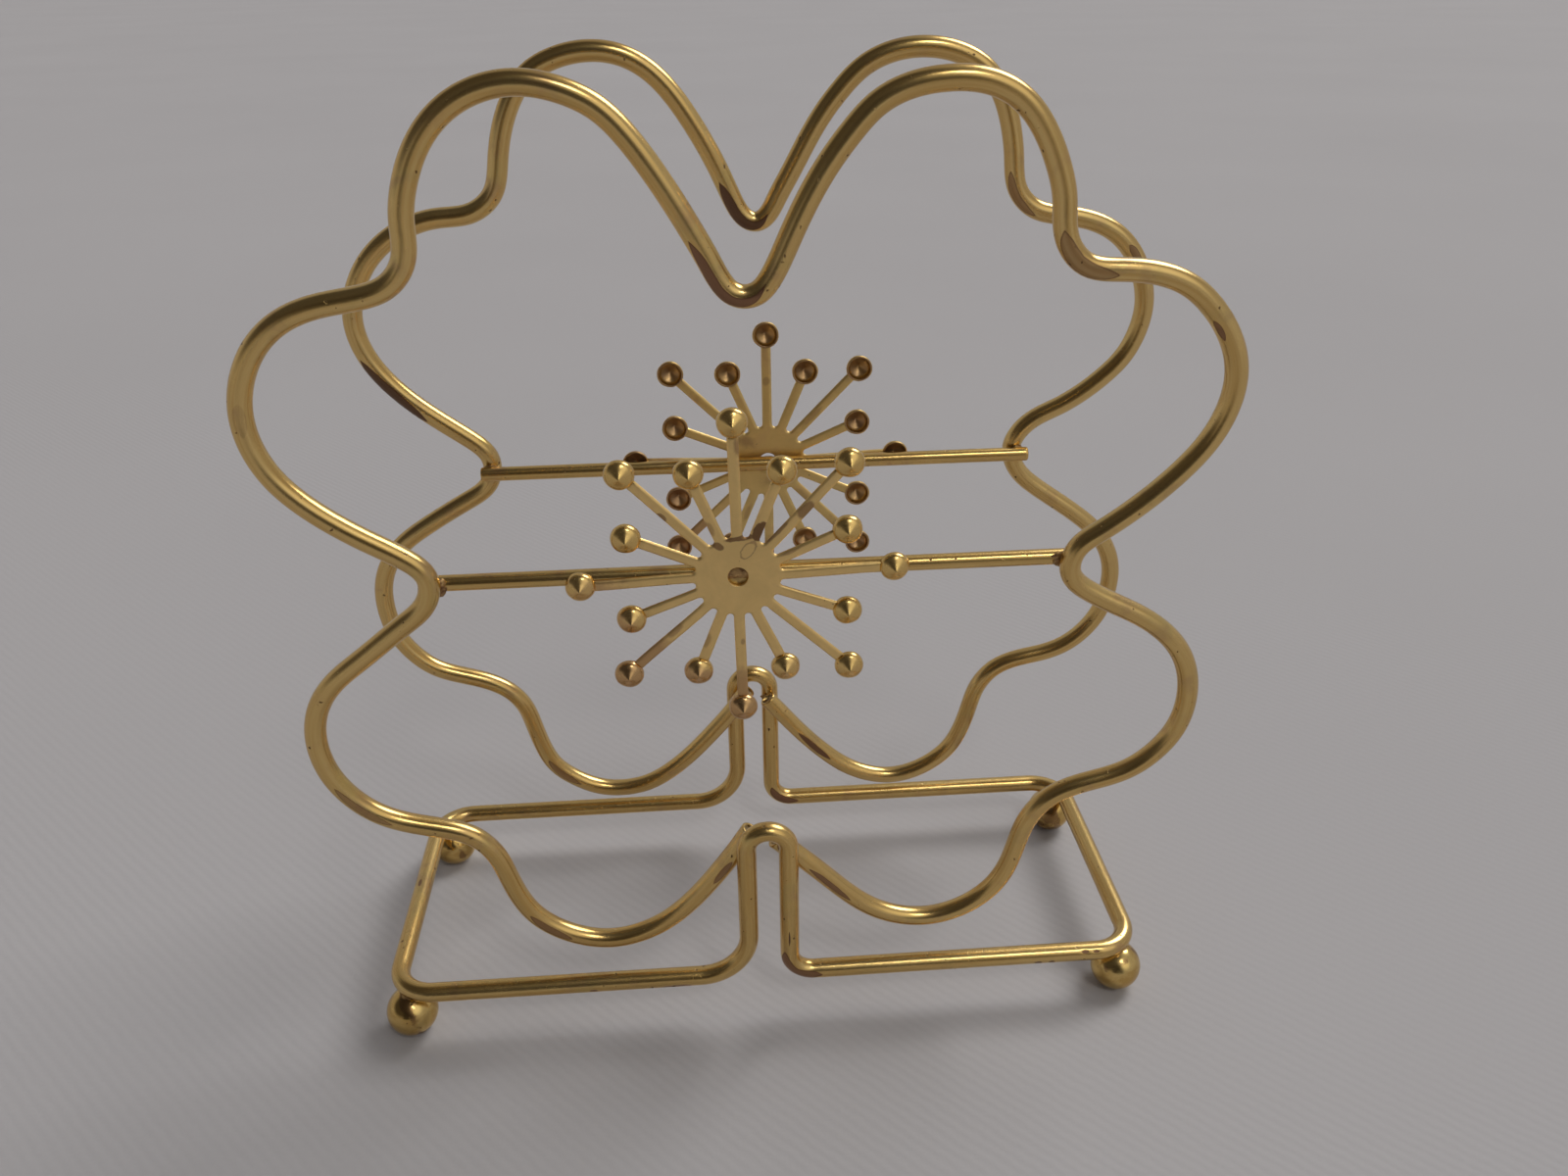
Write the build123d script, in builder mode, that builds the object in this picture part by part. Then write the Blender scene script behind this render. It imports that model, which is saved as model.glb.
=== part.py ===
from build123d import *
import os
from math import cos, sin, radians, sqrt

# Wire napkin holder: two upright flower-outline frames welded to the inner sides of two hoops
# that rise from one rectangular wire base on four ball feet. A thin cross rod joins the side
# notches of each frame and carries a stamped starburst on its outer side.
# Millimetres. +Z up, +Y from the front frame to the rear frame, +X to the right seen from the
# front. Origin: middle of the base rectangle, on the plane the feet stand on.

# ---- wire stock -------------------------------------------------------------------------------
wire_d = 4.0            # base wire and flower wire
rod_d = 3.0             # cross rods
weld_sink = 0.25        # how far one wire is pressed into the other at a weld
disc_sink = 0.15        # how far the cross rod is pressed into the starburst sheet
end_chamfer = 0.25      # broken edge on a cut rod end

# ---- feet -------------------------------------------------------------------------------------
ball_d = 10.7
foot_flat_d = 3.0       # flat on the lowest point of each ball
foot_inset = 2.4        # ball centre, inboard in X and Y of the centre-line rectangle's corner

# ---- base wire (centre-line sizes) ------------------------------------------------------------
base_len = 158.0        # along X
base_dep = 60.0         # along Y
base_z = 12.0           # height of the base wire above the table
corner_r = 8.0          # bend at each corner
hoop_half = 4.25        # half the distance between the two legs of a hoop
hoop_rise = 37.5        # top of the hoop above the base wire
hoop_bend_left = 10.5   # wide bend at the foot of the left leg
hoop_bend_right = 5.0   # tight bend at the foot of the right leg

# ---- flower wires -----------------------------------------------------------------------------
# Centre-line via points in the frame's plane: (sideways, height above the base wire). Each runs
# from the left cut end over the top to the right cut end. Both follow one pattern, four lobes
# on each side of a top notch, and differ slightly from hand bending.
front_outline = [
    (-2.5, 35.3), (-5.8, 30.1), (-9.2, 25.3), (-13.1, 20.3), (-17.2, 15.9), (-21.9, 12.2),
    (-27.4, 9.7), (-33.1, 8.9), (-38.8, 10.1), (-43.9, 12.9), (-47.9, 16.9), (-50.5, 22.0),
    (-52.2, 27.8), (-54.1, 33.5), (-58.0, 38.2), (-63.4, 40.5), (-69.2, 42.2), (-74.7, 44.8),
    (-79.1, 48.9), (-82.1, 54.0), (-83.5, 59.8), (-83.2, 65.8), (-81.1, 71.3), (-77.3, 75.9),
    (-72.6, 79.6), (-63.1, 86.9), (-58.9, 90.9), (-58.0, 95.8), (-61.7, 100.0), (-66.7, 103.3),
    (-76.3, 110.8), (-80.2, 115.5), (-82.7, 121.3), (-83.2, 127.6), (-81.6, 133.6),
    (-78.3, 138.8), (-73.5, 142.6), (-68.0, 144.6), (-62.0, 145.6), (-56.3, 147.4),
    (-53.0, 151.7), (-52.4, 157.3), (-50.9, 163.4), (-48.0, 168.9), (-43.6, 173.3),
    (-38.2, 175.9), (-32.2, 176.6), (-26.4, 175.4), (-21.1, 172.7), (-17.0, 168.5),
    (-13.6, 163.7), (-7.6, 153.5), (-5.4, 149.3), (-3.5, 145.8), (-2.1, 144.3), (0.0, 143.6),
    (2.3, 144.2), (3.8, 145.7), (5.8, 149.1), (7.8, 153.3), (13.7, 163.7), (17.3, 168.3),
    (21.4, 172.3), (26.6, 174.7), (32.2, 175.5), (37.9, 175.0), (43.1, 172.6), (47.0, 168.3),
    (49.7, 163.0), (51.4, 157.1), (52.2, 151.3), (55.9, 146.7), (62.1, 145.6), (68.1, 144.8),
    (73.6, 142.6), (78.2, 138.7), (81.8, 133.7), (83.9, 127.7), (83.5, 121.1), (81.0, 115.1),
    (77.2, 110.1), (67.8, 101.6), (62.8, 98.1), (59.2, 95.1), (58.3, 90.4), (62.5, 85.9),
    (72.9, 80.0), (77.7, 76.3), (81.5, 71.6), (83.7, 65.9), (84.1, 59.7), (82.7, 53.8),
    (79.3, 48.7), (74.6, 44.9), (69.0, 42.8), (63.2, 41.2), (58.0, 38.3), (54.4, 33.4),
    (52.6, 27.7), (51.0, 21.8), (48.3, 16.6), (44.1, 12.6), (38.8, 10.0), (33.1, 9.2),
    (27.6, 10.2), (22.3, 12.8), (17.8, 16.5), (13.7, 20.8), (9.6, 25.2), (5.7, 29.2), (2.3, 32.6),
]
rear_outline = [
    (-2.5, 35.3), (-5.8, 30.1), (-9.4, 25.4), (-13.4, 20.6), (-17.5, 16.2), (-22.0, 12.3),
    (-27.2, 9.2), (-33.1, 7.9), (-39.3, 8.6), (-44.9, 11.4), (-49.6, 15.7), (-52.2, 21.4),
    (-53.8, 27.4), (-55.5, 32.9), (-58.8, 37.3), (-63.5, 40.1), (-69.3, 42.0), (-75.0, 44.3),
    (-79.6, 48.5), (-82.7, 53.8), (-84.0, 59.7), (-83.8, 65.9), (-81.7, 71.7), (-77.8, 76.5),
    (-73.0, 80.1), (-62.8, 86.4), (-58.0, 90.3), (-57.2, 96.0), (-61.3, 100.6), (-66.2, 104.2),
    (-75.1, 111.9), (-78.6, 116.5), (-80.9, 121.8), (-81.4, 127.4), (-79.9, 132.9),
    (-77.0, 137.8), (-73.0, 141.7), (-68.0, 144.6), (-62.1, 146.2), (-56.1, 147.0),
    (-51.2, 150.8), (-49.6, 156.8), (-48.3, 162.6), (-46.1, 167.8), (-42.7, 172.2),
    (-37.9, 174.9), (-32.2, 176.2), (-26.2, 175.8), (-20.7, 173.3), (-16.3, 169.2),
    (-12.7, 164.3), (-6.8, 153.9), (-4.8, 149.6), (-2.8, 146.4), (-1.5, 145.4), (0.0, 145.1),
    (1.3, 145.6), (2.4, 146.7), (4.2, 149.9), (6.5, 154.1), (12.3, 164.5), (16.0, 169.4),
    (20.4, 173.7), (26.1, 176.4), (32.2, 177.2), (38.3, 176.3), (43.8, 173.5), (47.6, 168.7),
    (49.8, 163.0), (51.0, 157.0), (52.2, 151.3), (56.2, 147.3), (62.1, 146.0), (68.1, 144.9),
    (73.5, 142.4), (77.7, 138.3), (80.4, 133.1), (81.6, 127.4), (80.9, 121.8), (78.6, 116.5),
    (74.9, 112.2), (65.4, 105.3), (60.0, 102.3), (56.2, 96.2), (58.3, 90.5), (62.8, 86.5),
    (72.6, 79.7), (77.2, 75.8), (80.7, 71.1), (82.6, 65.7), (82.7, 59.9), (81.4, 54.3),
    (78.5, 49.4), (74.2, 45.5), (68.9, 43.2), (63.0, 41.8), (57.3, 39.1), (53.5, 33.8),
    (51.9, 27.8), (50.4, 22.1), (48.0, 16.9), (44.0, 12.7), (38.9, 9.8), (33.1, 8.6), (27.3, 9.6),
    (21.9, 12.2), (17.2, 15.9), (12.9, 20.1), (8.9, 24.6), (5.4, 28.9), (2.3, 32.6),
]
wire_runs = 8           # the outline is swept in this many equal runs

# ---- starburst --------------------------------------------------------------------------------
sheet_t = 0.8
disc_r = 7.9
hub_hole_d = 3.6
arm_count = 16
arm_w = 2.0
arm_root_w = 2.35
arm_taper = 6.0         # length beyond the disc over which the arm narrows to arm_w
root_fillet_r = 0.24
root_reach = disc_r + 1 # vertices nearer the plane's origin than this are filleted
long_r, short_r = 28.4, 21.3    # hub centre to cup centre, alternating
cup_r = 2.75
cup_h = 2.9             # rim plane to point

# Cup profiles, (radius, height above the sheet's inner face)
cup_skirt = (cup_r, 0.45)
cup_shoulder = (cup_r - 0.17, 0.95)
cup_cone = (cup_r - 0.55, 1.3)
cup_blunt = (0.22, cup_h - 0.12)
hollow_bottom = -0.1    # starts below the rim so that the cut runs through it
hollow_r = cup_r - 0.45
hollow_skirt = (hollow_r, 0.35)
hollow_shoulder = (cup_r - 0.6, 0.7)
hollow_cone = (cup_r - 0.9, 0.95)
hollow_peak = (0, cup_h - 0.6)

# ---- placing of the front and rear assemblies, as welded by hand --------------------------------
# name, side (-1 front, 1 rear), outline,
# frame: sideways shift, roll about the hoop top (degrees, counter-clockwise from the front),
# rod: height above the base wire, X of the two cut ends,
# starburst: X of the hub centre, its height above the base wire
assemblies = [
    ("front", -1, front_outline, -0.6, 0.5, 92.5, (-59.6, 58.9), -4.0, 92.2),
    ("rear", 1, rear_outline, 1.2, -1.1, 94.7, (-56.6, 61.3), 4.6, 94.7),
]

# ---- derived ----------------------------------------------------------------------------------
wire_r, rod_r, ball_r = wire_d / 2, rod_d / 2, ball_d / 2
base_x, base_y = base_len / 2, base_dep / 2
flower_y = base_y - (wire_d - weld_sink)
rod_y = flower_y - (wire_r + rod_r - weld_sink)
disc_y = rod_y + rod_r - disc_sink      # inner face of the starburst sheet
hoop_top = base_z + hoop_rise
ball_z = sqrt(ball_r**2 - (foot_flat_d / 2) ** 2)

os.makedirs("parts", exist_ok=True)


def save(part, name):
    part.label = name
    export_step(part, f"parts/{name}.step")


def make_base_frame():
    """One closed wire with a hoop in the middle of each long side."""
    diagonal = sqrt(0.5)
    left_x = -hoop_half - hoop_bend_left
    right_x = hoop_half + hoop_bend_right
    left_leg_z = base_z + hoop_bend_left
    right_leg_z = base_z + hoop_bend_right
    arch_z = hoop_top - hoop_half
    with BuildPart() as frame:
        with BuildLine() as path:
            for side in (-1, 1):
                y = side * base_y
                # left bend, left leg, arch, right leg, right bend
                Line((-base_x + corner_r, y, base_z), (left_x, y, base_z))
                ThreePointArc(
                    (left_x, y, base_z),
                    (left_x + hoop_bend_left * diagonal, y,
                     left_leg_z - hoop_bend_left * diagonal),
                    (-hoop_half, y, left_leg_z),
                )
                Line((-hoop_half, y, left_leg_z), (-hoop_half, y, arch_z))
                ThreePointArc((-hoop_half, y, arch_z), (0, y, hoop_top), (hoop_half, y, arch_z))
                Line((hoop_half, y, arch_z), (hoop_half, y, right_leg_z))
                ThreePointArc(
                    (hoop_half, y, right_leg_z),
                    (right_x - hoop_bend_right * diagonal, y,
                     right_leg_z - hoop_bend_right * diagonal),
                    (right_x, y, base_z),
                )
                Line((right_x, y, base_z), (base_x - corner_r, y, base_z))
            for side in (-1, 1):
                x = side * base_x
                Line((x, -base_y + corner_r, base_z), (x, base_y - corner_r, base_z))
                for end in (-1, 1):
                    bend_x, bend_y = x - side * corner_r, end * (base_y - corner_r)
                    ThreePointArc(
                        (bend_x, end * base_y, base_z),
                        (bend_x + side * corner_r * diagonal,
                         bend_y + end * corner_r * diagonal, base_z),
                        (x, bend_y, base_z),
                    )
        with BuildSketch(Plane(origin=(base_x, 0, base_z), x_dir=(1, 0, 0), z_dir=(0, 1, 0))):
            Circle(wire_r)
        sweep(path=path.wires()[0])
    return frame.part


def make_flower_frame(side, shift, roll, outline, base_frame):
    """One open length of wire, both cut ends at the bottom notch."""
    # local x to the right, local y up, origin at the hoop top
    angle = radians(roll)
    plane = Plane(
        origin=(shift, side * flower_y, hoop_top),
        x_dir=(cos(angle), 0, sin(angle)),
        z_dir=(0, -1, 0),
    )
    with BuildLine(plane) as path:
        Spline(*[(x, z - hoop_rise) for x, z in outline])
    centre_line = path.edges()[0]
    with BuildPart() as frame:
        for k in range(wire_runs):
            run = centre_line.trim(k / wire_runs, (k + 1) / wire_runs)
            with BuildPart() as length:
                with BuildSketch(Plane(origin=run @ 0, z_dir=run % 0)):
                    Circle(wire_r)
                sweep(path=run)
            add(length.part)
        # weld seat: the wire is pressed against the hoop
        add(base_frame, mode=Mode.SUBTRACT)
    return frame.part


def make_starburst(side, hub_x, hub_z):
    """Stamped sheet: a disc with arms that end in pointed cups, hollow from the inner side."""
    plane = Plane(origin=(hub_x, side * disc_y, hub_z), x_dir=(1, 0, 0), z_dir=(0, side, 0))
    step = 360 / arm_count
    arms = [(long_r if i % 2 == 0 else short_r, 90 - i * step) for i in range(arm_count)]
    taper_x = disc_r + arm_taper
    with BuildPart() as burst:
        with BuildSketch(plane) as blank:
            Circle(disc_r)
            for reach, angle in arms:
                with Locations(Location((0, 0, 0), (0, 0, angle))):
                    Polygon(
                        (0, -arm_root_w / 2), (disc_r, -arm_root_w / 2), (taper_x, -arm_w / 2),
                        (reach, -arm_w / 2), (reach, arm_w / 2), (taper_x, arm_w / 2),
                        (disc_r, arm_root_w / 2), (0, arm_root_w / 2), align=None,
                    )
            fillet(
                [v for v in blank.vertices() if (v.center() - plane.origin).length < root_reach],
                root_fillet_r,
            )
            with PolarLocations(long_r, arm_count // 2, start_angle=90):
                Circle(cup_r)
            with PolarLocations(short_r, arm_count // 2, start_angle=90 - step):
                Circle(cup_r)
            Circle(hub_hole_d / 2, mode=Mode.SUBTRACT)
        extrude(amount=sheet_t)
        for reach, angle in arms:
            turn = radians(angle)
            centre = plane.from_local_coords((reach * cos(turn), reach * sin(turn), 0))
            section = Plane(origin=centre, x_dir=plane.x_dir, z_dir=plane.x_dir.cross(plane.z_dir))
            axis = Axis(centre, plane.z_dir)
            # low skirt, rounded shoulder, straight cone, blunt point
            with BuildSketch(section):
                with BuildLine():
                    Polyline((0, 0), (cup_r, 0), cup_skirt)
                    ThreePointArc(cup_skirt, cup_shoulder, cup_cone)
                    Line(cup_cone, cup_blunt)
                    Line(cup_blunt, (0, cup_h))
                    Line((0, cup_h), (0, 0))
                make_face()
            revolve(axis=axis)
            # hollow
            with BuildSketch(section):
                with BuildLine():
                    Polyline((0, hollow_bottom), (hollow_r, hollow_bottom), hollow_skirt)
                    ThreePointArc(hollow_skirt, hollow_shoulder, hollow_cone)
                    Line(hollow_cone, hollow_peak)
                    Line(hollow_peak, (0, hollow_bottom))
                make_face()
            revolve(axis=axis, mode=Mode.SUBTRACT)
    return burst.part


def make_cross_rod(side, z, ends, flower, burst):
    """Straight rod along X, seated against the flower wire and the starburst disc."""
    with BuildPart() as rod:
        with BuildSketch(Plane(origin=(ends[0], side * rod_y, z), z_dir=(1, 0, 0))):
            Circle(rod_r)
        extrude(amount=ends[1] - ends[0])
        chamfer(rod.edges().filter_by(GeomType.CIRCLE), end_chamfer)
        add(flower, mode=Mode.SUBTRACT)
        add(burst, mode=Mode.SUBTRACT)
    return rod.part


def make_ball_foot(side_x, side_y, base_frame):
    """Ball welded under a corner bend, flat at its lowest point."""
    x, y = side_x * (base_x - foot_inset), side_y * (base_y - foot_inset)
    flat_edge = (foot_flat_d / 2, 0)
    ball_top = (0, ball_z + ball_r)
    with BuildPart() as foot:
        with BuildSketch(Plane(origin=(x, y, 0), x_dir=(1, 0, 0), z_dir=(0, -1, 0))):
            with BuildLine():
                ThreePointArc(flat_edge, (ball_r, ball_z), ball_top)
                Line(ball_top, (0, 0))
                Line((0, 0), flat_edge)
            make_face()
        revolve(axis=Axis((x, y, 0), (0, 0, 1)))
        add(base_frame, mode=Mode.SUBTRACT)
    return foot.part


base_frame = make_base_frame()
save(base_frame, "base_frame")

for name, side, outline, shift, roll, rod_z, rod_ends, burst_x, burst_z in assemblies:
    flower = make_flower_frame(side, shift, roll, outline, base_frame)
    save(flower, f"{name}_flower_frame")
    burst = make_starburst(side, burst_x, base_z + burst_z)
    save(burst, f"{name}_starburst")
    rod = make_cross_rod(side, base_z + rod_z, rod_ends, flower, burst)
    save(rod, f"{name}_cross_rod")
    for hand, side_x in (("left", -1), ("right", 1)):
        save(make_ball_foot(side_x, side, base_frame), f"{name}_{hand}_foot")
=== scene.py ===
# Brass wire stand: a rectangular base wire on four ball feet rises into a hoop at the middle
# of its front and rear runs. Each hoop carries an upright flower-shaped wire frame, crossed
# by a rod that holds a starburst of sixteen cup-tipped arms.
# +X is right, -Y is the front, +Z is up. The feet stand on z = 0, midway about the origin.
# Geometry is worked out in millimetres and scaled by MM when it becomes a mesh.
import math
from types import SimpleNamespace

import bmesh
import bpy
import numpy as np
from mathutils import Matrix, Vector, noise
from mathutils.geometry import tessellate_polygon


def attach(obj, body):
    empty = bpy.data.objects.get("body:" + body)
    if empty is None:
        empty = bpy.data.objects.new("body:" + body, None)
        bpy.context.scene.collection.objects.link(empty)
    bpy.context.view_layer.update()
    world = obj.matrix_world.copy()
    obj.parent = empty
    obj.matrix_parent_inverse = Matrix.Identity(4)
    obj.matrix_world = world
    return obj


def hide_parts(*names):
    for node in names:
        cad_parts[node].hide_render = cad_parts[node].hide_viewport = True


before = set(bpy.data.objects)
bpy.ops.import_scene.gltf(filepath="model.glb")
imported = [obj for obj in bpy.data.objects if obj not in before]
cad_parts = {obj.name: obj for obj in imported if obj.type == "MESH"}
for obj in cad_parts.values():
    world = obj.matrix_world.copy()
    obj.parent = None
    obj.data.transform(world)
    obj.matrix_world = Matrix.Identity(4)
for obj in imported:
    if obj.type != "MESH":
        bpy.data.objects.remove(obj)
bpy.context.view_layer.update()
MM = 0.001

# ---------------------------------------------------------------------------------------
# Sizes, mm
# ---------------------------------------------------------------------------------------
WIRE_R, ROD_R, BALL_R = 2.0, 1.5, 5.35
BASE_L, BASE_D, BASE_Z, CORNER_R = 158.0, 60.0, 12.0, 8.0
HOOP_HALF, HOOP_RISE = 4.25, 37.5
BEND_L, BEND_R = 10.5, 5.0  # bend radii left and right of a hoop
SINK = 0.25  # overlap of wires that are welded together
FLOWER_Y = BASE_D / 2 - (2 * WIRE_R - SINK)
ROD_Y = FLOWER_Y - (WIRE_R + ROD_R - SINK)
DISC_Y = ROD_Y + ROD_R - 0.15
HOOP_TOP = BASE_Z + HOOP_RISE
FOOT_INSET, FOOT_FLAT = 2.4, 1.5
FLOWER_STEP, BASE_STEP = 0.55, 0.6  # ring spacing along the wires

# Starburst
SHEET, DISC_R, HUB_HOLE_R, ARM_HALF = 0.8, 7.9, 1.8, 1.02
CROWN = 0.70  # width of the rounding along the sheet's edge
ARMS = 16
ARM_PITCH = 360 / ARMS
LONG_R, SHORT_R = 28.4, 21.3  # hub to cup centre, arms alternate
ARM_SHORTFALL = 2.34  # the blank ends this far before the cup centre
SET_START, SET_SHORTFALL = 8.8, 2.9  # bending starts here and is full this far before the cup
CUP_R, CUP_H = 2.75, 2.9

AXIS_X, AXIS_Y, AXIS_Z = (1, 0, 0), (0, 1, 0), (0, 0, 1)

# side: -1 front, 1 rear; roll: degrees in the frame's plane; shift: along x
# rod: left end x, right end x, height; hub: x, height
FACES = (
    SimpleNamespace(name="front", side=-1, roll=0.5, shift=-0.6,
                    rod=(-59.6, 58.9, BASE_Z + 92.5), hub=(-4.0, BASE_Z + 92.2)),
    SimpleNamespace(name="rear", side=1, roll=-1.1, shift=1.2,
                    rod=(-56.6, 61.3, BASE_Z + 94.7), hub=(4.6, BASE_Z + 94.7)),
)
# foot, side in x, side in y
CORNERS = (("front_left", -1, -1), ("front_right", 1, -1), ("rear_left", -1, 1),
           ("rear_right", 1, 1))

# Centre lines of the flower frames: (x, height above the base wire), open at the bottom,
# clockwise as seen from the front
OUTLINE = {
    "front": [
    (-2.5, 35.3), (-5.8, 30.1), (-9.2, 25.3), (-13.1, 20.3), (-17.2, 15.9), (-21.9, 12.2),
    (-27.4, 9.7), (-33.1, 8.9), (-38.8, 10.1), (-43.9, 12.9), (-47.9, 16.9), (-50.5, 22.0),
    (-52.2, 27.8), (-54.1, 33.5), (-58.0, 38.2), (-63.4, 40.5), (-69.2, 42.2), (-74.7, 44.8),
    (-79.1, 48.9), (-82.1, 54.0), (-83.5, 59.8), (-83.2, 65.8), (-81.1, 71.3), (-77.3, 75.9),
    (-72.6, 79.6), (-63.1, 86.9), (-58.9, 90.9), (-58.0, 95.8), (-61.7, 100.0), (-66.7, 103.3),
    (-76.3, 110.8), (-80.2, 115.5), (-82.7, 121.3), (-83.2, 127.6), (-81.6, 133.6),
    (-78.3, 138.8), (-73.5, 142.6), (-68.0, 144.6), (-62.0, 145.6), (-56.3, 147.4),
    (-53.0, 151.7), (-52.4, 157.3), (-50.9, 163.4), (-48.0, 168.9), (-43.6, 173.3),
    (-38.2, 175.9), (-32.2, 176.6), (-26.4, 175.4), (-21.1, 172.7), (-17.0, 168.5),
    (-13.6, 163.7), (-7.6, 153.5), (-5.4, 149.3), (-3.5, 145.8), (-2.1, 144.3), (0.0, 143.6),
    (2.3, 144.2), (3.8, 145.7), (5.8, 149.1), (7.8, 153.3), (13.7, 163.7), (17.3, 168.3),
    (21.4, 172.3), (26.6, 174.7), (32.2, 175.5), (37.9, 175.0), (43.1, 172.6), (47.0, 168.3),
    (49.7, 163.0), (51.4, 157.1), (52.2, 151.3), (55.9, 146.7), (62.1, 145.6), (68.1, 144.8),
    (73.6, 142.6), (78.2, 138.7), (81.8, 133.7), (83.9, 127.7), (83.5, 121.1), (81.0, 115.1),
    (77.2, 110.1), (67.8, 101.6), (62.8, 98.1), (59.2, 95.1), (58.3, 90.4), (62.5, 85.9),
    (72.9, 80.0), (77.7, 76.3), (81.5, 71.6), (83.7, 65.9), (84.1, 59.7), (82.7, 53.8),
    (79.3, 48.7), (74.6, 44.9), (69.0, 42.8), (63.2, 41.2), (58.0, 38.3), (54.4, 33.4),
    (52.6, 27.7), (51.0, 21.8), (48.3, 16.6), (44.1, 12.6), (38.8, 10.0), (33.1, 9.2),
    (27.6, 10.2), (22.3, 12.8), (17.8, 16.5), (13.7, 20.8), (9.6, 25.2), (5.7, 29.2),
    (2.3, 32.6),
    ],
    "rear": [
    (-2.5, 35.3), (-5.8, 30.1), (-9.4, 25.4), (-13.4, 20.6), (-17.5, 16.2), (-22.0, 12.3),
    (-27.2, 9.2), (-33.1, 7.9), (-39.3, 8.6), (-44.9, 11.4), (-49.6, 15.7), (-52.2, 21.4),
    (-53.8, 27.4), (-55.5, 32.9), (-58.8, 37.3), (-63.5, 40.1), (-69.3, 42.0), (-75.0, 44.3),
    (-79.6, 48.5), (-82.7, 53.8), (-84.0, 59.7), (-83.8, 65.9), (-81.7, 71.7), (-77.8, 76.5),
    (-73.0, 80.1), (-62.8, 86.4), (-58.0, 90.3), (-57.2, 96.0), (-61.3, 100.6), (-66.2, 104.2),
    (-75.1, 111.9), (-78.6, 116.5), (-80.9, 121.8), (-81.4, 127.4), (-79.9, 132.9),
    (-77.0, 137.8), (-73.0, 141.7), (-68.0, 144.6), (-62.1, 146.2), (-56.1, 147.0),
    (-51.2, 150.8), (-49.6, 156.8), (-48.3, 162.6), (-46.1, 167.8), (-42.7, 172.2),
    (-37.9, 174.9), (-32.2, 176.2), (-26.2, 175.8), (-20.7, 173.3), (-16.3, 169.2),
    (-12.7, 164.3), (-6.8, 153.9), (-4.8, 149.6), (-2.8, 146.4), (-1.5, 145.4), (-0.0, 145.1),
    (1.3, 145.6), (2.4, 146.7), (4.2, 149.9), (6.5, 154.1), (12.3, 164.5), (16.0, 169.4),
    (20.4, 173.7), (26.1, 176.4), (32.2, 177.2), (38.3, 176.3), (43.8, 173.5), (47.6, 168.7),
    (49.8, 163.0), (51.0, 157.0), (52.2, 151.3), (56.2, 147.3), (62.1, 146.0), (68.1, 144.9),
    (73.5, 142.4), (77.7, 138.3), (80.4, 133.1), (81.6, 127.4), (80.9, 121.8), (78.6, 116.5),
    (74.9, 112.2), (65.4, 105.3), (60.0, 102.3), (56.2, 96.2), (58.3, 90.5), (62.8, 86.5),
    (72.6, 79.7), (77.2, 75.8), (80.7, 71.1), (82.6, 65.7), (82.7, 59.9), (81.4, 54.3),
    (78.5, 49.4), (74.2, 45.5), (68.9, 43.2), (63.0, 41.8), (57.3, 39.1), (53.5, 33.8),
    (51.9, 27.8), (50.4, 22.1), (48.0, 16.9), (44.0, 12.7), (38.9, 9.8), (33.1, 8.6),
    (27.3, 9.6), (21.9, 12.2), (17.2, 15.9), (12.9, 20.1), (8.9, 24.6), (5.4, 28.9),
    (2.3, 32.6),
    ],
}

# Set of each cup by hand bending: arm, clockwise from the top: (x, z)
BENDS = {
    "front": {0: (-.22, 1.0), 1: (.09, .65), 2: (.09, 1.25), 3: (.3, .35), 4: (.27, .65),
              5: (.44, .1), 6: (.49, .1), 7: (.3, .1), 8: (.22, .2), 9: (.18, .05),
              10: (-.93, .45), 11: (-.1, .25), 12: (-.18, -.75), 13: (-.13, .3),
              14: (0, .55), 15: (0, .55)},
    "rear": {0: (0, -.6), 2: (-.46, -.1), 3: (-.4, 0), 4: (-.67, .65), 5: (-.1, -.28),
             6: (-.25, -.2), 7: (-.15, .65), 10: (0, .33), 12: (-.1, .55)},
}

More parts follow.
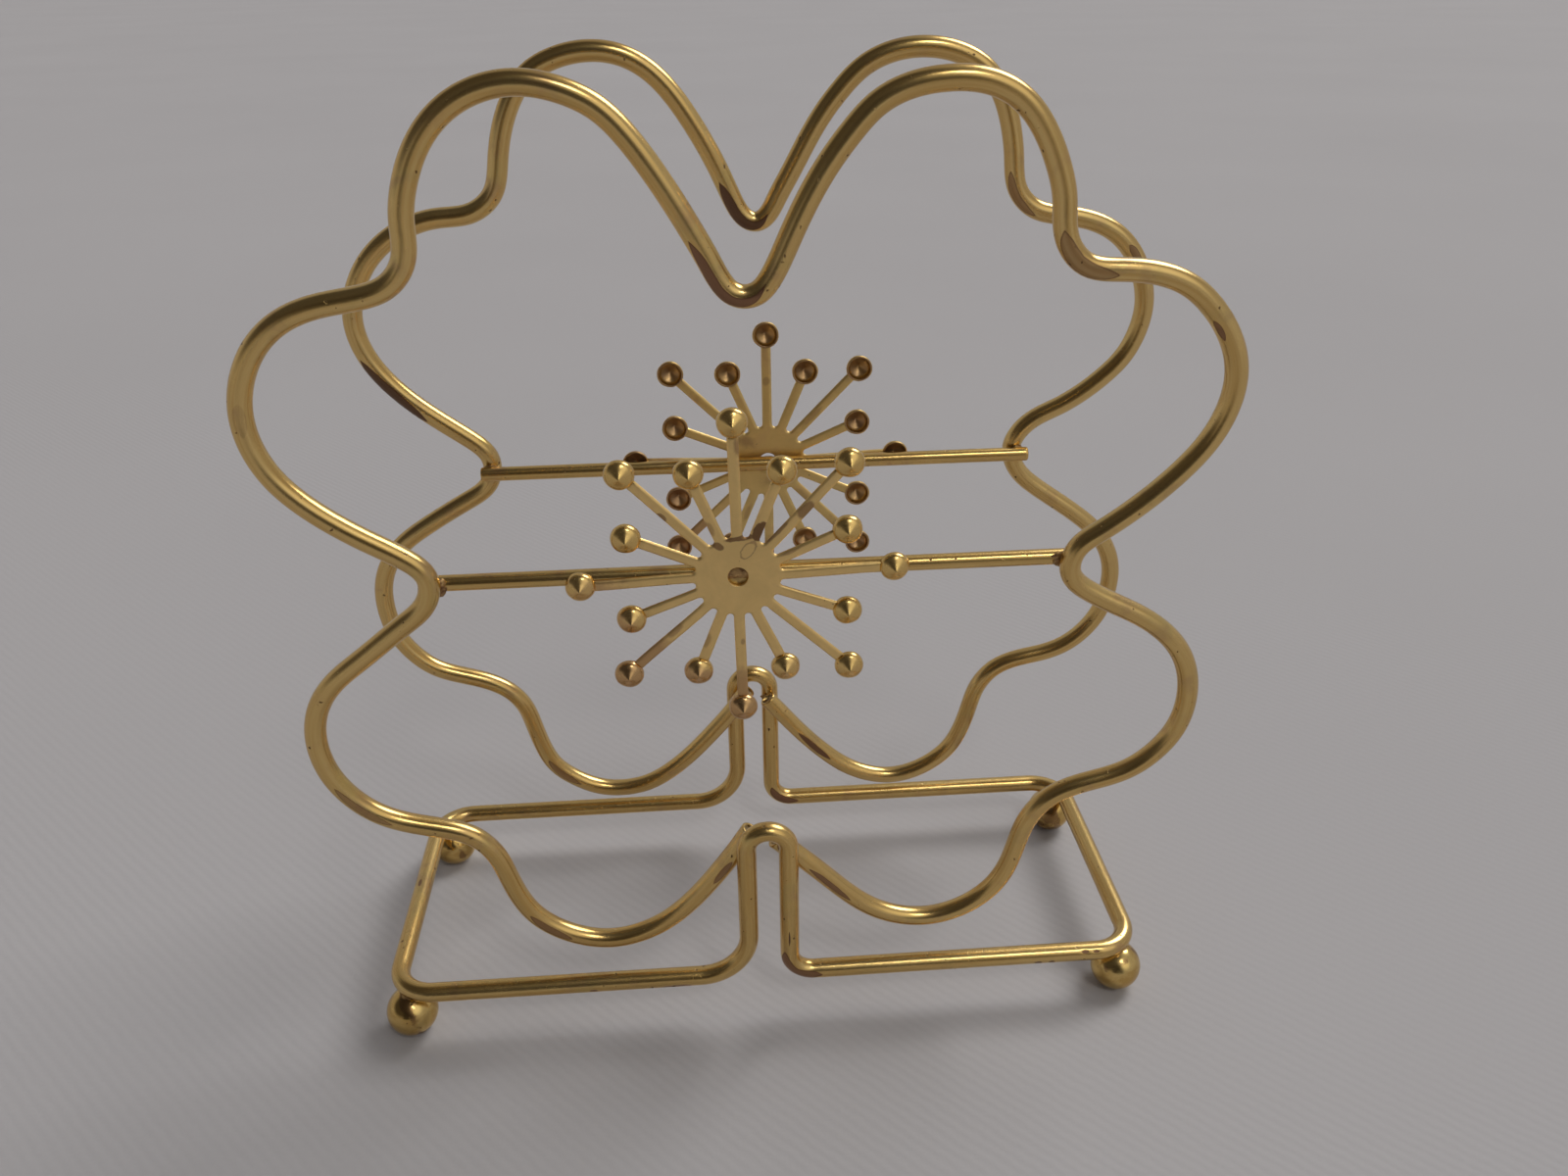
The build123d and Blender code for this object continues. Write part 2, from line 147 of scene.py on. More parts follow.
# Tool marks on the wires: point, facing direction, half length, half width in radians, tone
MARKS = {
    "front": (
        ((-5.6, -26.2, 158.6), (-0.46, -0.85, -0.27), 8.0, 0.55, 1.1),
        ((53.3, -26.2, 159.8), (-0.25, -0.93, -0.26), 6.5, 0.80, 0.80),
        ((79.1, -26.2, 148.5), (-0.58, -0.71, -0.40), 2.4, 0.30, 1.0),
        ((-84.6, -26.2, 138.2), (0.15, -0.99, -0.01), 3.0, 0.60, 0.45),
        ((-78.6, -26.2, 58.9), (0.01, -1.00, 0.01), 7.0, 0.40, 0.8),
        ((13.1, -26.2, 33.1), (-0.04, -1.00, -0.03), 6.5, 0.33, 1.0),
        ((-8.9, -26.2, 38.2), (0.00, -1.00, 0.00), 3.5, 0.35, 0.95),
        ((-45.5, -26.2, 25.5), (0.03, -1.00, 0.03), 5.5, 0.40, 0.9),
    ),
    "rear": (
        ((-0.3, 26.2, 159.6), (-0.37, -0.90, -0.24), 6.5, 0.65, 1.25),
        ((-72.3, 26.2, 125.1), (-0.40, -0.85, -0.34), 9.0, 0.80, 1.3),
        ((56.2, 26.2, 161.2), (-0.51, -0.80, -0.33), 5.0, 0.50, 0.85),
        ((-47.1, 26.2, 26.7), (0.02, -1.00, 0.02), 5.5, 0.42, 0.85),
        ((14.5, 26.2, 31.1), (0.02, -1.00, 0.02), 6.0, 0.36, 1.15),
        ((80.8, 26.2, 148.9), (0.03, -1.00, 0.02), 2.6, 0.40, 0.9),
    ),
    "base": (
        ((5.7, -30.0, 13.5), (-0.58, -0.81, -0.02), 5.6, 0.74, 1.0),
        ((6.6, 30.0, 12.8), (-0.02, -1.00, -0.03), 4.6, 0.55, 1.1),
        ((4.2, -30.0, 22.4), (-0.09, -1.00, 0.00), 2.3, 0.09, 1.3),
        ((-79.0, 2.4, 12.0), (-0.18, 0.00, 0.98), 1.3, 0.20, 1.0),
        ((57.8, -30.0, 12.0), (0, -0.92, -0.38), 0.9, 0.24, 1.2),
        ((60.4, -30.0, 12.0), (0, -0.93, -0.36), 0.7, 0.20, 1.2),
        ((68.0, -30.0, 12.0), (0, -0.78, 0.62), 0.8, 0.22, 1.1),
        ((70.4, -30.0, 12.0), (0, -0.80, 0.60), 0.7, 0.18, 1.1),
        ((-20.0, -30.0, 12.0), (0, -0.90, -0.42), 3.4, 0.20, 1.0),
        ((-37.0, -30.0, 12.0), (0, -0.95, -0.30), 1.0, 0.16, 1.1),
    ),
}
MAX_TONE = 1.5  # tones are stored as a share of this
FLAT_BASE, FLAT_FLOWER = 0.10, 0.07  # depth of the flat at a tool mark

# Heated places on the flower frames: x, height above the base wire, strength, reach
FLOWER_HEAT = (
    (-2.4, 145.6, 0.62, 8.0), (54.0, 149.0, 0.58, 8.0), (-54.5, 149.0, 0.5, 7.0),
    (81.5, 132.0, 0.45, 8.0), (-83.0, 60.0, 0.45, 8.0), (83.0, 60.0, 0.4, 8.0),
    (56.5, 37.0, 0.45, 6.0), (-56.5, 37.0, 0.4, 6.0),
)
# Heated places on the left part of the rods: x, height from the rod, strength, reach
ROD_HEAT = {
    "front": ((-48.0, 0.4, 0.75, 14.0), (-36.0, 0.6, 0.62, 14.0), (-22.0, 0.6, 0.5, 12.0)),
    "rear": ((-48.0, -0.6, 0.6, 10.0),),
}

# Brown stains on the sheets; the rear entry at (0.0, 1.2) is painted shade along the rod: x and
# z from the hub, half length, half width, direction in degrees, strength, softness of the edge
STAINS_AND_ROD_SHADE = {
    "front": (
        (4.3, 8.9, 2.1, 1.5, 67.5, 1.0, 0.16), (0.7, 7.7, 3.3, 0.55, 8, 0.9, 0.3),
        (-3.4, 6.3, 1.2, 0.8, -30, 0.85, 0.3), (-5.0, 9.7, 1.9, 1.1, 112.5, 0.55, 0.4),
        (12.4, 12.7, 2.3, 1.4, 45, 0.8, 0.3), (7.1, 8.5, 3.4, 0.55, 45, 0.7, 0.4),
        (-13.1, 12.3, 1.2, 0.7, 135, 0.8, 0.3), (-12.1, -10.6, 2.5, 1.0, 42, 0.6, 0.5),
        (-6.3, -13.0, 1.9, 1.0, 67, 0.45, 0.5), (0.5, -13.6, 0.9, 0.6, 90, 0.6, 0.5),
        (0.9, 25.2, 2.3, 1.2, 90, 0.7, 0.5), (9.6, 4.6, 2.2, 0.4, 22.5, 0.6, 0.4),
    ),
    "rear": (
        (-4.6, 4.6, 3.0, 1.9, 150, 0.60, 0.8), (0.4, -4.6, 3.4, 2.2, 10, 0.40, 0.9),
        (3.5, 18.5, 2.0, 1.0, 78, 0.45, 0.6), (-9.0, 9.4, 2.6, 1.0, 135, 0.4, 0.6),
        # (0.0, 1.2, 9.0, ...) is not a stain: it is a band of painted shade along the rod, just
        # above the hub
        (7.4, -8.2, 2.8, 1.0, 135, 0.4, 0.6), (0.0, 1.2, 9.0, 1.9, 0, 0.32, 0.8),
        (0.0, 18.0, 1.2, 1.0, 90, 0.5, 0.5), (9.6, 9.8, 3.6, 0.7, 45, 0.4, 0.5),
        (-4.7, -12.0, 2.6, 0.8, 67, 0.45, 0.5),
    ),
}
# Ring-shaped stains: the same columns without softness
RING_STAINS = {"front": ((2.0, 5.3, 2.0, 1.05, 53, 0.62),), "rear": ()}


# ---------------------------------------------------------------------------------------
# Mesh helpers
# ---------------------------------------------------------------------------------------
def new_object(name, verts, faces, smooth=True):
    mesh = bpy.data.meshes.new(name)
    mesh.from_pydata(np.array(verts, float).tolist(), [], faces)
    mesh.update()
    if smooth:
        shade_smooth(mesh)
    return link_object(name, mesh)


def link_object(name, data):
    ob = bpy.data.objects.new(name, data)
    bpy.context.scene.collection.objects.link(ob)
    return ob


def shade_smooth(mesh):
    mesh.polygons.foreach_set("use_smooth", [True] * len(mesh.polygons))


def face_outwards(mesh, merge=None):
    """Turns the faces outwards, after merging vertices closer than merge."""
    bm = bmesh.new()
    bm.from_mesh(mesh)
    if merge:
        bmesh.ops.remove_doubles(bm, verts=bm.verts, dist=merge)
    bmesh.ops.recalc_face_normals(bm, faces=bm.faces)
    bm.to_mesh(mesh)
    bm.free()


def read_points(mesh):
    flat = np.zeros(len(mesh.vertices) * 3, np.float32)
    mesh.vertices.foreach_get("co", flat)
    return flat.reshape(-1, 3).astype(float)


def write_attribute(mesh, name, values):
    attribute = mesh.attributes.new(name, "FLOAT", "POINT")
    attribute.data.foreach_set("value", np.clip(values, 0, 1).astype(np.float32))


def heat_field(points, spots):
    """Strongest heat at each point. A spot: x, y, z, strength, reach."""
    heat = np.zeros(len(points))
    for *centre, strength, reach in spots:
        distance = np.linalg.norm(points - np.array(centre), axis=1) / reach
        heat = np.maximum(heat, strength * np.clip(1 - distance, 0, 1) ** (1 / 1.6))
    return heat


def give(ob, material, slot, *replaced):
    ob.data.materials.clear()
    ob.data.materials.append(material)
    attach(ob, "root")
    if replaced:
        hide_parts(*replaced)


def revolve(verts, faces, profile, centre, sides, turn=0.0, wobble=lambda angle: 1.0):
    """Adds a skin of revolution about z. profile: (radius, z), radius 0 makes a pole."""
    cx, cy = centre
    rows = []
    for r, z in profile:
        if r < 1e-6:
            rows.append([len(verts)] * sides)
            verts.append((cx, cy, z))
            continue
        row = []
        for k in range(sides):
            angle = 2 * math.pi * k / sides + turn
            radius = r * wobble(angle)
            row.append(len(verts))
            verts.append((cx + radius * math.cos(angle), cy + radius * math.sin(angle), z))
        rows.append(row)
    for row, following in zip(rows, rows[1:]):
        for k in range(sides):
            l = (k + 1) % sides
            corners = [row[k], following[k], following[l], row[l]]
            # drop the corner that is doubled at a pole
            corners = [v for i, v in enumerate(corners) if v not in corners[:i]]
            faces.append(tuple(corners))


# ---------------------------------------------------------------------------------------
# Wires
# ---------------------------------------------------------------------------------------
def arc_lengths(points):
    return np.r_[0, np.cumsum(np.linalg.norm(np.diff(points, axis=0), axis=1))]


def resample(points, step, closed=False):
    if closed:
        points = np.vstack([points, points[:1]])
    length = arc_lengths(points)
    count = max(2, int(round(length[-1] / step)))
    at = np.linspace(0, length[-1], count + 1)
    if closed:
        at = at[:-1]
    return np.column_stack([np.interp(at, length, points[:, k]) for k in range(3)])


def spline(points, step):
    """Natural cubic spline through points by chord length, sampled evenly."""
    points = np.array(points, float)
    knots = arc_lengths(points)
    count, gaps = len(knots), np.diff(knots)
    system = np.zeros((count, count))
    target = np.zeros((count, 3))
    system[0, 0] = system[-1, -1] = 1
    for i in range(1, count - 1):
        system[i, i - 1:i + 2] = gaps[i - 1], 2 * (gaps[i - 1] + gaps[i]), gaps[i]
        target[i] = 6 * ((points[i + 1] - points[i]) / gaps[i]
                         - (points[i] - points[i - 1]) / gaps[i - 1])
    second = np.linalg.solve(system, target)  # second derivatives at the knots

    at = np.linspace(0, knots[-1], 12000)
    i = np.clip(np.searchsorted(knots, at) - 1, 0, count - 2)
    past, left, gap = (at - knots[i])[:, None], (knots[i + 1] - at)[:, None], gaps[i][:, None]
    fine = ((second[i] * left**3 + second[i + 1] * past**3) / (6 * gap)
            + (points[i] / gap - second[i] * gap / 6) * left
            + (points[i + 1] / gap - second[i + 1] * gap / 6) * past)
    return resample(fine, step)


def across(facing, tangent):
    """A unit facing direction made square to the wire."""
    square = np.array(facing, float)
    square -= square @ tangent * tangent
    return square / max(np.linalg.norm(square), 1e-9)


def nearest(path, point):
    return int(np.argmin(np.linalg.norm(path - np.array(point), axis=1)))


def wire_frame(path, closed, first_normal):
    """Tangents, normals and binormals that turn as little as possible along the path."""
    if closed:
        tangents = np.roll(path, -1, 0) - np.roll(path, 1, 0)
    else:
        tangents = np.gradient(path, axis=0)
    tangents /= np.linalg.norm(tangents, axis=1)[:, None]

    def square(normal, tangent):
        normal = normal - normal @ tangent * tangent
        return normal / np.linalg.norm(normal)

    normals = np.zeros_like(path)
    normals[0] = square(np.array(first_normal, float), tangents[0])
    for i in range(1, len(path)):
        normals[i] = square(normals[i - 1], tangents[i])
    if closed:
        # spread the mismatch at the seam over the whole loop
        length = arc_lengths(path)
        total = length[-1] + np.linalg.norm(path[0] - path[-1])
        arriving = square(normals[-1], tangents[0])
        twist = math.atan2(np.cross(arriving, normals[0]) @ tangents[0], arriving @ normals[0])
        for i in range(len(path)):
            angle = twist * length[i] / total
            sideways = np.cross(tangents[i], normals[i])
            normals[i] = normals[i] * math.cos(angle) + sideways * math.sin(angle)
    return tangents, normals, np.cross(tangents, normals)


def tube(name, path, radius, closed=False, sides=56, normal=AXIS_Y, shape=None,
         cap_round=0.22):
    """Swept wire. shape may change the radii per ring and side.
    The wire_uv layer holds arc length in mm and angle in radians."""
    tangents, normals, binormals = wire_frame(path, closed, normal)
    length = arc_lengths(path)
    total = length[-1] + (np.linalg.norm(path[0] - path[-1]) if closed else 0)
    angles = np.arange(sides) * 2 * math.pi / sides
    outward = (np.cos(angles)[None, :, None] * normals[:, None, :]
               + np.sin(angles)[None, :, None] * binormals[:, None, :])
    radii = np.full((len(path), sides), radius, float)
    if shape is not None:
        radii = shape(path, tangents, outward, radii)
    rings = [path[i] + radii[i][:, None] * outward[i] for i in range(len(path))]
    arcs = list(length)

    def cap(i, sign):
        """Broken edge and flat cut face: (inset, distance along the wire)."""
        mean = radii[i].mean()
        profile = [(0.0, -cap_round), (0.3 * cap_round, -0.3 * cap_round), (cap_round, 0.0),
                   (mean * 0.55, 0.02), (mean * 0.18, 0.0)]
        return [path[i] + sign * along * tangents[i]
                + np.maximum(radii[i] - inset, 0.05)[:, None] * outward[i]
                for inset, along in profile]

    if not closed:
        head, tail = cap(0, -1.0), cap(len(path) - 1, 1.0)
        rings = head[::-1] + rings[1:-1] + tail
        arcs = [arcs[0]] * len(head) + arcs[1:-1] + [arcs[-1]] * len(tail)
    count = len(rings)
    faces, uv = [], []
    for i in range(count if closed else count - 1):
        j = (i + 1) % count
        arc_i, arc_j = arcs[i], (arcs[j] if j > i else total)
        for k in range(sides):
            l = (k + 1) % sides
            faces.append((i * sides + k, i * sides + l, j * sides + l, j * sides + k))
            angle_k, angle_l = angles[k], angles[k] + 2 * math.pi / sides
            uv += [(arc_i, angle_k), (arc_i, angle_l), (arc_j, angle_l), (arc_j, angle_k)]
    if not closed:
        faces.append(tuple(range(sides))[::-1])
        uv += [(arcs[0], angle) for angle in angles][::-1]
        faces.append(tuple((count - 1) * sides + k for k in range(sides)))
        uv += [(arcs[-1], angle) for angle in angles]
    ob = new_object(name, np.vstack(rings) * MM, faces)
    layer = ob.data.uv_layers.new(name="wire_uv")
    layer.data.foreach_set("uv", np.array(uv, np.float32).ravel())
    ob["sides"] = sides
    face_outwards(ob.data)
    return ob, tangents


def wire_shape(marks, depth):
    """Slight oval at each bend and a soft flat of the given depth at each tool mark."""
    def shape(path, tangents, outward, radii):
        spacing = np.maximum(np.linalg.norm(np.gradient(path, axis=0), axis=1), 1e-6)
        curve = np.gradient(tangents, axis=0) / spacing[:, None]
        bend = np.minimum(np.linalg.norm(curve, axis=1), 0.3)
        bend = np.convolve(np.pad(bend, 6, mode="edge"), np.ones(13) / 13, "valid")
        inner = curve / np.maximum(np.linalg.norm(curve, axis=1), 1e-9)[:, None]
        toward_bend = np.abs(np.einsum("isk,ik->is", outward, inner))
        radii = radii * (1 - 0.12 * bend[:, None] * toward_bend ** 2)
        for place, facing, half_length, half_angle, _ in marks:
            middle = nearest(path, place)
            square = across(facing, tangents[middle])
            along = np.linalg.norm(path - path[middle], axis=1) / half_length
            fade = np.clip(1 - along**2, 0, 1)
            edge = math.cos(min(half_angle * 1.15, 1.2))
            inside = np.clip((outward @ square - edge) / (1 - edge), 0, 1)
            radii -= depth * fade[:, None] * inside ** 1.2
        return radii
    return shape


def mark_fields(points, marks, path, tangents):
    """Lens-shaped tool marks, 0.5 on the outline and 1 in the middle, and their tones."""
    best = np.full(len(points), -9.0)
    tones = np.zeros(len(points))
    for place, facing, half_length, half_angle, tone in marks:
        middle = nearest(path, place)
        span = half_length * 1.8 + 4
        close = np.where(np.linalg.norm(points - path[middle], axis=1) < span)[0]
        # only the stretch of path near the mark is searched
        reach = int(round(span / 0.5)) + 4
        first = max(0, middle - reach)
        stretch = path[first: middle + reach + 1]
        ring = np.linalg.norm(points[close][:, None, :] - stretch[None], axis=2).argmin(1)
        radial = points[close] - stretch[ring]
        radial /= np.maximum(np.linalg.norm(radial, axis=1), 1e-9)[:, None]
        along = np.linalg.norm(stretch[ring] - path[middle], axis=1) / half_length
        square = np.array([across(facing, tangents[first + k])
                           for k in range(len(stretch))])[ring]
        cosine = np.clip(np.einsum("ij,ij->i", radial, square), -1, 1)
        field = 1 - along**3 - np.arccos(cosine) / half_angle
        better = field > best[close]
        best[close[better]] = field[better]
        tones[close[better]] = tone
    return 0.5 + 0.5 * best, tones / MAX_TONE


def wire_piece(name, path, radius, heat, marks, material, slot, node, **tube_settings):
    ob, tangents = tube(name, path, radius, **tube_settings)
    points = read_points(ob.data) / MM
    mark, tone = mark_fields(points, marks, path, tangents)
    write_attribute(ob.data, "heat", heat_field(points, heat))
    write_attribute(ob.data, "mark", mark)
    write_attribute(ob.data, "tone", tone)
    give(ob, material, slot, node)


# ---------------------------------------------------------------------------------------
# Shader node helpers
# ---------------------------------------------------------------------------------------
class Value:
    """A shader output. Arithmetic on it adds Math nodes."""

    def __init__(self, graph, socket):
        self.graph = graph
        self.socket = socket

    def __add__(self, other):
        return self.graph.math("ADD", self, other)

    def __radd__(self, other):
        return self.graph.math("ADD", other, self)

    def __sub__(self, other):
        return self.graph.math("SUBTRACT", self, other)

    def __rsub__(self, other):
        return self.graph.math("SUBTRACT", other, self)

    def __mul__(self, other):
        return self.graph.math("MULTIPLY", self, other)

    def scaled(self, factor, plus):
        return self.graph.math("MULTIPLY_ADD", self, factor, plus)

    def max(self, other):
        return self.graph.math("MAXIMUM", self, other)


class Graph:
    """Builds the node tree of a material or a world."""

    def __init__(self, owner):
        owner.use_nodes = True
        self.owner = owner
        self.tree = owner.node_tree
        self.tree.nodes.clear()

    def add(self, kind, inputs, **settings):
        """inputs: input name or number to a Value, a number, a colour or a vector."""
        node = self.tree.nodes.new(kind)
        for name, setting in settings.items():
            setattr(node, name, setting)
        for key, value in inputs.items():
            socket = node.inputs[key]
            if isinstance(value, Value):
                self.tree.links.new(value.socket, socket)
            elif socket.type == "RGBA":
                socket.default_value = (*value, 1)
            else:
                socket.default_value = value
        return node

    def value(self, kind, inputs, output=0, **settings):
        return Value(self, self.add(kind, inputs, **settings).outputs[output])

    def math(self, operation, a, b=0.0, c=0.0, clamp=False):
        return self.value("ShaderNodeMath", {0: a, 1: b, 2: c}, operation=operation,
                          use_clamp=clamp)

    def mix(self, base, over, amount, strength=None):
        """Colour over base, by amount times strength."""
        if strength is not None:
            amount = amount * strength
        return self.value("ShaderNodeMix", {0: amount, 6: base, 7: over}, output=2,
                          data_type="RGBA", clamp_factor=True)

    def mix_numbers(self, base, over, amount):
        return self.value("ShaderNodeMix", {0: amount, 2: base, 3: over}, data_type="FLOAT",
                          clamp_factor=True)

    def ramp(self, value, lo, hi):
        """Smooth step from 0 at lo to 1 at hi."""
        return self.value("ShaderNodeMapRange", {0: value, 1: lo, 2: hi, 3: 0, 4: 1},
                          clamp=True, interpolation_type="SMOOTHSTEP")

    def noise(self, vector, scale, detail=3.0, rough=0.6, warp=0.0):
        return self.value("ShaderNodeTexNoise", {
            "Vector": vector, "Scale": scale, "Detail": detail, "Roughness": rough,
            "Distortion": warp}, output="Fac")

    def attribute(self, name):
        return self.value("ShaderNodeAttribute", {}, output="Fac", attribute_name=name)

    def position(self, output="Object"):
        return self.value("ShaderNodeTexCoord", {}, output=output)

    def split(self, vector):
        node = self.add("ShaderNodeSeparateXYZ", {0: vector})
        return [Value(self, output) for output in node.outputs]

    def wire_vector(self, along, around):
        """Arc length and circled angle, so streaks run down the wire with no seam."""
        arc, angle, _ = self.split(self.value("ShaderNodeUVMap", {}, uv_map="wire_uv"))
        return self.value("ShaderNodeCombineXYZ", {
            0: arc * along,
            1: self.math("COSINE", angle) * around,
            2: self.math("SINE", angle) * around})

    def bump(self, height, distance, strength=0.5):
        return self.value("ShaderNodeBump", {
            "Distance": distance, "Strength": strength, "Height": height})

    def finish(self, colour, rough, normal, metal=1.0):
        shader = self.value("ShaderNodeBsdfPrincipled", {
            "Base Color": colour, "Roughness": rough, "Metallic": metal, "Normal": normal})
        self.add("ShaderNodeOutputMaterial", {0: shader})
        return self.owner


def material_graph(name):
    return Graph(bpy.data.materials.new(name))


# ---------------------------------------------------------------------------------------
# Materials. Factors on noises and attributes are the weights of each in a sum; those in a
# roughness sum are the roughness each layer adds.
# ---------------------------------------------------------------------------------------
BRASS = (0.74, 0.52, 0.205)
BRASS_DEEP = (0.62, 0.40, 0.135)
BRASS_GREEN = (0.60, 0.47, 0.17)
COPPER = (0.50, 0.285, 0.155)
BURNT = (0.105, 0.055, 0.032)
PALE = (0.86, 0.70, 0.40)
MAUVE = (0.235, 0.115, 0.070)
MAUVE_DARK = (0.120, 0.062, 0.038)
SCORCHED = (0.30, 0.165, 0.115)
MARK_RIM = (0.16, 0.07, 0.035)


def brass_wire(name, rough, tint=0.0, streak=1.0, scorch=0.35):
    """tint: more copper patches, streak: drawn lines, scorch: heat tint near welds."""
    mat = material_graph(name)
    pos = mat.position()
    heat, mark = mat.attribute("heat"), mat.attribute("mark")
    lines = mat.noise(mat.wire_vector(along=0.05, around=6.0), scale=3.2, detail=4.0)
    broad = mat.noise(mat.wire_vector(along=0.012, around=1.1), scale=1.6)
    patch = mat.noise(pos, scale=95.0, detail=4.0, rough=0.62, warp=0.6)
    small = mat.noise(pos, scale=210.0)
    speck = mat.noise(pos, scale=900.0, detail=1.0, rough=0.4)
    # base tone with greenish patches and pale drawn lines
    colour = mat.mix(BRASS_DEEP, BRASS, amount=mat.ramp(broad, lo=0.34, hi=0.66))
    colour = mat.mix(colour, BRASS_GREEN, mat.ramp(patch, lo=0.52, hi=0.72), strength=0.55)
    colour = mat.mix(colour, PALE, mat.ramp(lines, lo=0.5, hi=0.8), strength=0.14 * streak)
    # thin copper-coloured tarnish, stronger where the wire was heated
    tarnish = mat.ramp(heat * 0.62 + small * 0.62, lo=0.50, hi=0.78)
    colour = mat.mix(colour, COPPER, tarnish, strength=0.75)
    light = mat.ramp(patch * 0.6 + small * 0.4, lo=0.53, hi=0.66)
    colour = mat.mix(colour, COPPER, light, strength=0.42 + tint)
    # heat tint spreading from the welds
    heated = mat.ramp(heat + (small - 0.5) * 0.6, lo=0.36, hi=0.62)
    colour = mat.mix(colour, SCORCHED, heated, strength=scorch)
    # tool marks: a mauve-brown film, thicker on the strong ones, with a crisp dark outline
    tone = mat.attribute("tone") * MAX_TONE
    ragged = mark + (mat.noise(pos, scale=420.0, detail=2.0, rough=0.5) - 0.5) * 0.13
    inside = mat.ramp(ragged, lo=0.50, hi=0.535)
    rim = mat.ramp(ragged, lo=0.485, hi=0.515) * (1.0 - mat.ramp(ragged, lo=0.545, hi=0.63))
    film = inside * mat.ramp(tone, lo=0.4, hi=1.2).scaled(0.80, plus=0.15)
    film_colour = mat.mix(MAUVE, MAUVE_DARK, amount=mat.ramp(tone, lo=1.05, hi=1.3))
    colour = mat.mix(colour, film_colour, amount=film)
    rim = rim * (mat.ramp(tone, lo=0.5, hi=0.95) * 0.72)
    colour = mat.mix(colour, MARK_RIM, amount=mat.math("MULTIPLY", rim, 1.0, clamp=True))
    # burnt oxide right at the welds
    burn = mat.ramp(heat * 0.8 + small * 0.55, lo=0.90, hi=1.10)
    dark = burn.max(film * 0.7)
    colour = mat.mix(colour, BURNT, burn, strength=0.88)
    # tiny pits
    pit = mat.ramp(speck, lo=0.75, hi=0.785)
    colour = mat.mix(colour, BURNT, pit, strength=0.8)
    rough = (rough + (lines - 0.5) * 0.10 + heated * (0.15 * scorch) + tarnish * 0.12
             + dark * 0.22)
    rough = mat.math("ADD", rough, pit * 0.3, clamp=True)
    height = lines * 0.16 + mat.noise(pos, scale=520.0, detail=2.0, rough=0.5) * 0.45
    normal = mat.bump(height - pit * 1.2, distance=0.00004, strength=0.55)
    return mat.finish(colour, rough, normal, metal=mat.mix_numbers(1.0, 0.75, amount=dark))


def brass_sheet(name, face, rough, bare_and_sheen):
    """Satin stamped sheet: tarnished arm ends, brown stains and a band of painted shade along
    the rear rod, unpolished cup insides. bare_and_sheen is the bare colour, raised on the front
    sheet as painted sheen.
    """
    mat = material_graph(name)
    pos = mat.position()
    tip, hollow, cup = [mat.attribute(key) for key in ("tip", "hollow", "cup")]
    x, _, z = mat.split(pos)
    right = x * 1000.0 - face.hub[0]  # mm from the hub
    up = z * 1000.0 - face.hub[1]
    grain = mat.noise(pos, scale=1500.0)
    cloud = mat.noise(pos, scale=120.0, detail=4.0, warp=0.5)
    mottle = mat.noise(pos, scale=330.0)
    wobble = (mat.noise(pos, scale=620.0) - 0.5) * 0.75
    speck = mat.noise(pos, scale=1150.0, detail=1.0, rough=0.4)

    def ellipse(cx, cz, half_length, half_width, degrees):
        """1 at the centre, 0 on the ragged outline."""
        c, s = math.cos(math.radians(degrees)), math.sin(math.radians(degrees))
        offset_p, offset_q = -(cx * c + cz * s) / half_length, (cx * s - cz * c) / half_width
        p = right.scaled(c / half_length, plus=up.scaled(s / half_length, plus=offset_p))
        q = right.scaled(-s / half_width, plus=up.scaled(c / half_width, plus=offset_q))
        return 1.0 - (mat.math("SQRT", p * p + q * q) + wobble)

    # on the front sheet the bare colour is raised as painted sheen
    worn = tuple(0.90 * channel for channel in bare_and_sheen)
    colour = mat.mix(worn, bare_and_sheen, amount=mat.ramp(cloud, lo=0.35, hi=0.68))
    # tarnish at the arm ends, more toward the lower left
    film = tip * 0.45 + mottle * 0.6
    low = mat.ramp(right.scaled(-0.012, plus=up * -0.034), lo=0.42, hi=0.95)
    film = film + low * tip * 0.22
    colour = mat.mix(colour, (0.475, 0.27, 0.135), mat.ramp(film, lo=0.46, hi=0.80),
                     strength=0.72)
    colour = mat.mix(colour, (0.62, 0.40, 0.20), mat.ramp(cloud, lo=0.56, hi=0.66),
                     strength=0.30)
    burn = 0.0
    # the stains darken the sheet brown; on the rear sheet one of them is painted shade along
    # the rod
    for *place, strength, softness in STAINS_AND_ROD_SHADE[face.name]:
        burn = (mat.ramp(ellipse(*place), lo=0.0, hi=softness) * strength).max(burn)
    for *place, strength in RING_STAINS[face.name]:
        shape = ellipse(*place)
        ring = mat.ramp(shape, lo=-0.12, hi=0.0) * (1.0 - mat.ramp(shape, lo=0.08, hi=0.22))
        burn = (ring * strength).max(burn)
    brown = mat.mix((0.34, 0.19, 0.105), (0.19, 0.095, 0.05),
                    amount=mat.ramp(burn, lo=0.6, hi=1.0))
    colour = mat.mix(colour, brown, burn, strength=0.90)
    pit = mat.ramp(speck, lo=0.765, hi=0.80)
    colour = mat.mix(colour, BURNT, pit, strength=0.6)
    clean_cup = cup * (1.0 - mat.ramp(film, lo=0.46, hi=0.80))
    colour = mat.mix(colour, (0.70, 0.475, 0.165), clean_cup, strength=0.75)
    # the insides of the cups were never polished
    dull = mat.ramp(mottle, lo=0.3, hi=0.7).scaled(0.30, plus=0.66)
    dull = mat.math("MULTIPLY", hollow, dull, clamp=True)
    colour = mat.mix(colour, (0.385, 0.240, 0.132), amount=dull)
    rough = rough + (grain - 0.5) * 0.2 - cup * 0.16 + burn * 0.15
    rough = mat.math("ADD", rough, dull * 0.10, clamp=True)
    return mat.finish(colour, rough, mat.bump(grain * 0.5 + mottle * 0.5, distance=0.00003))


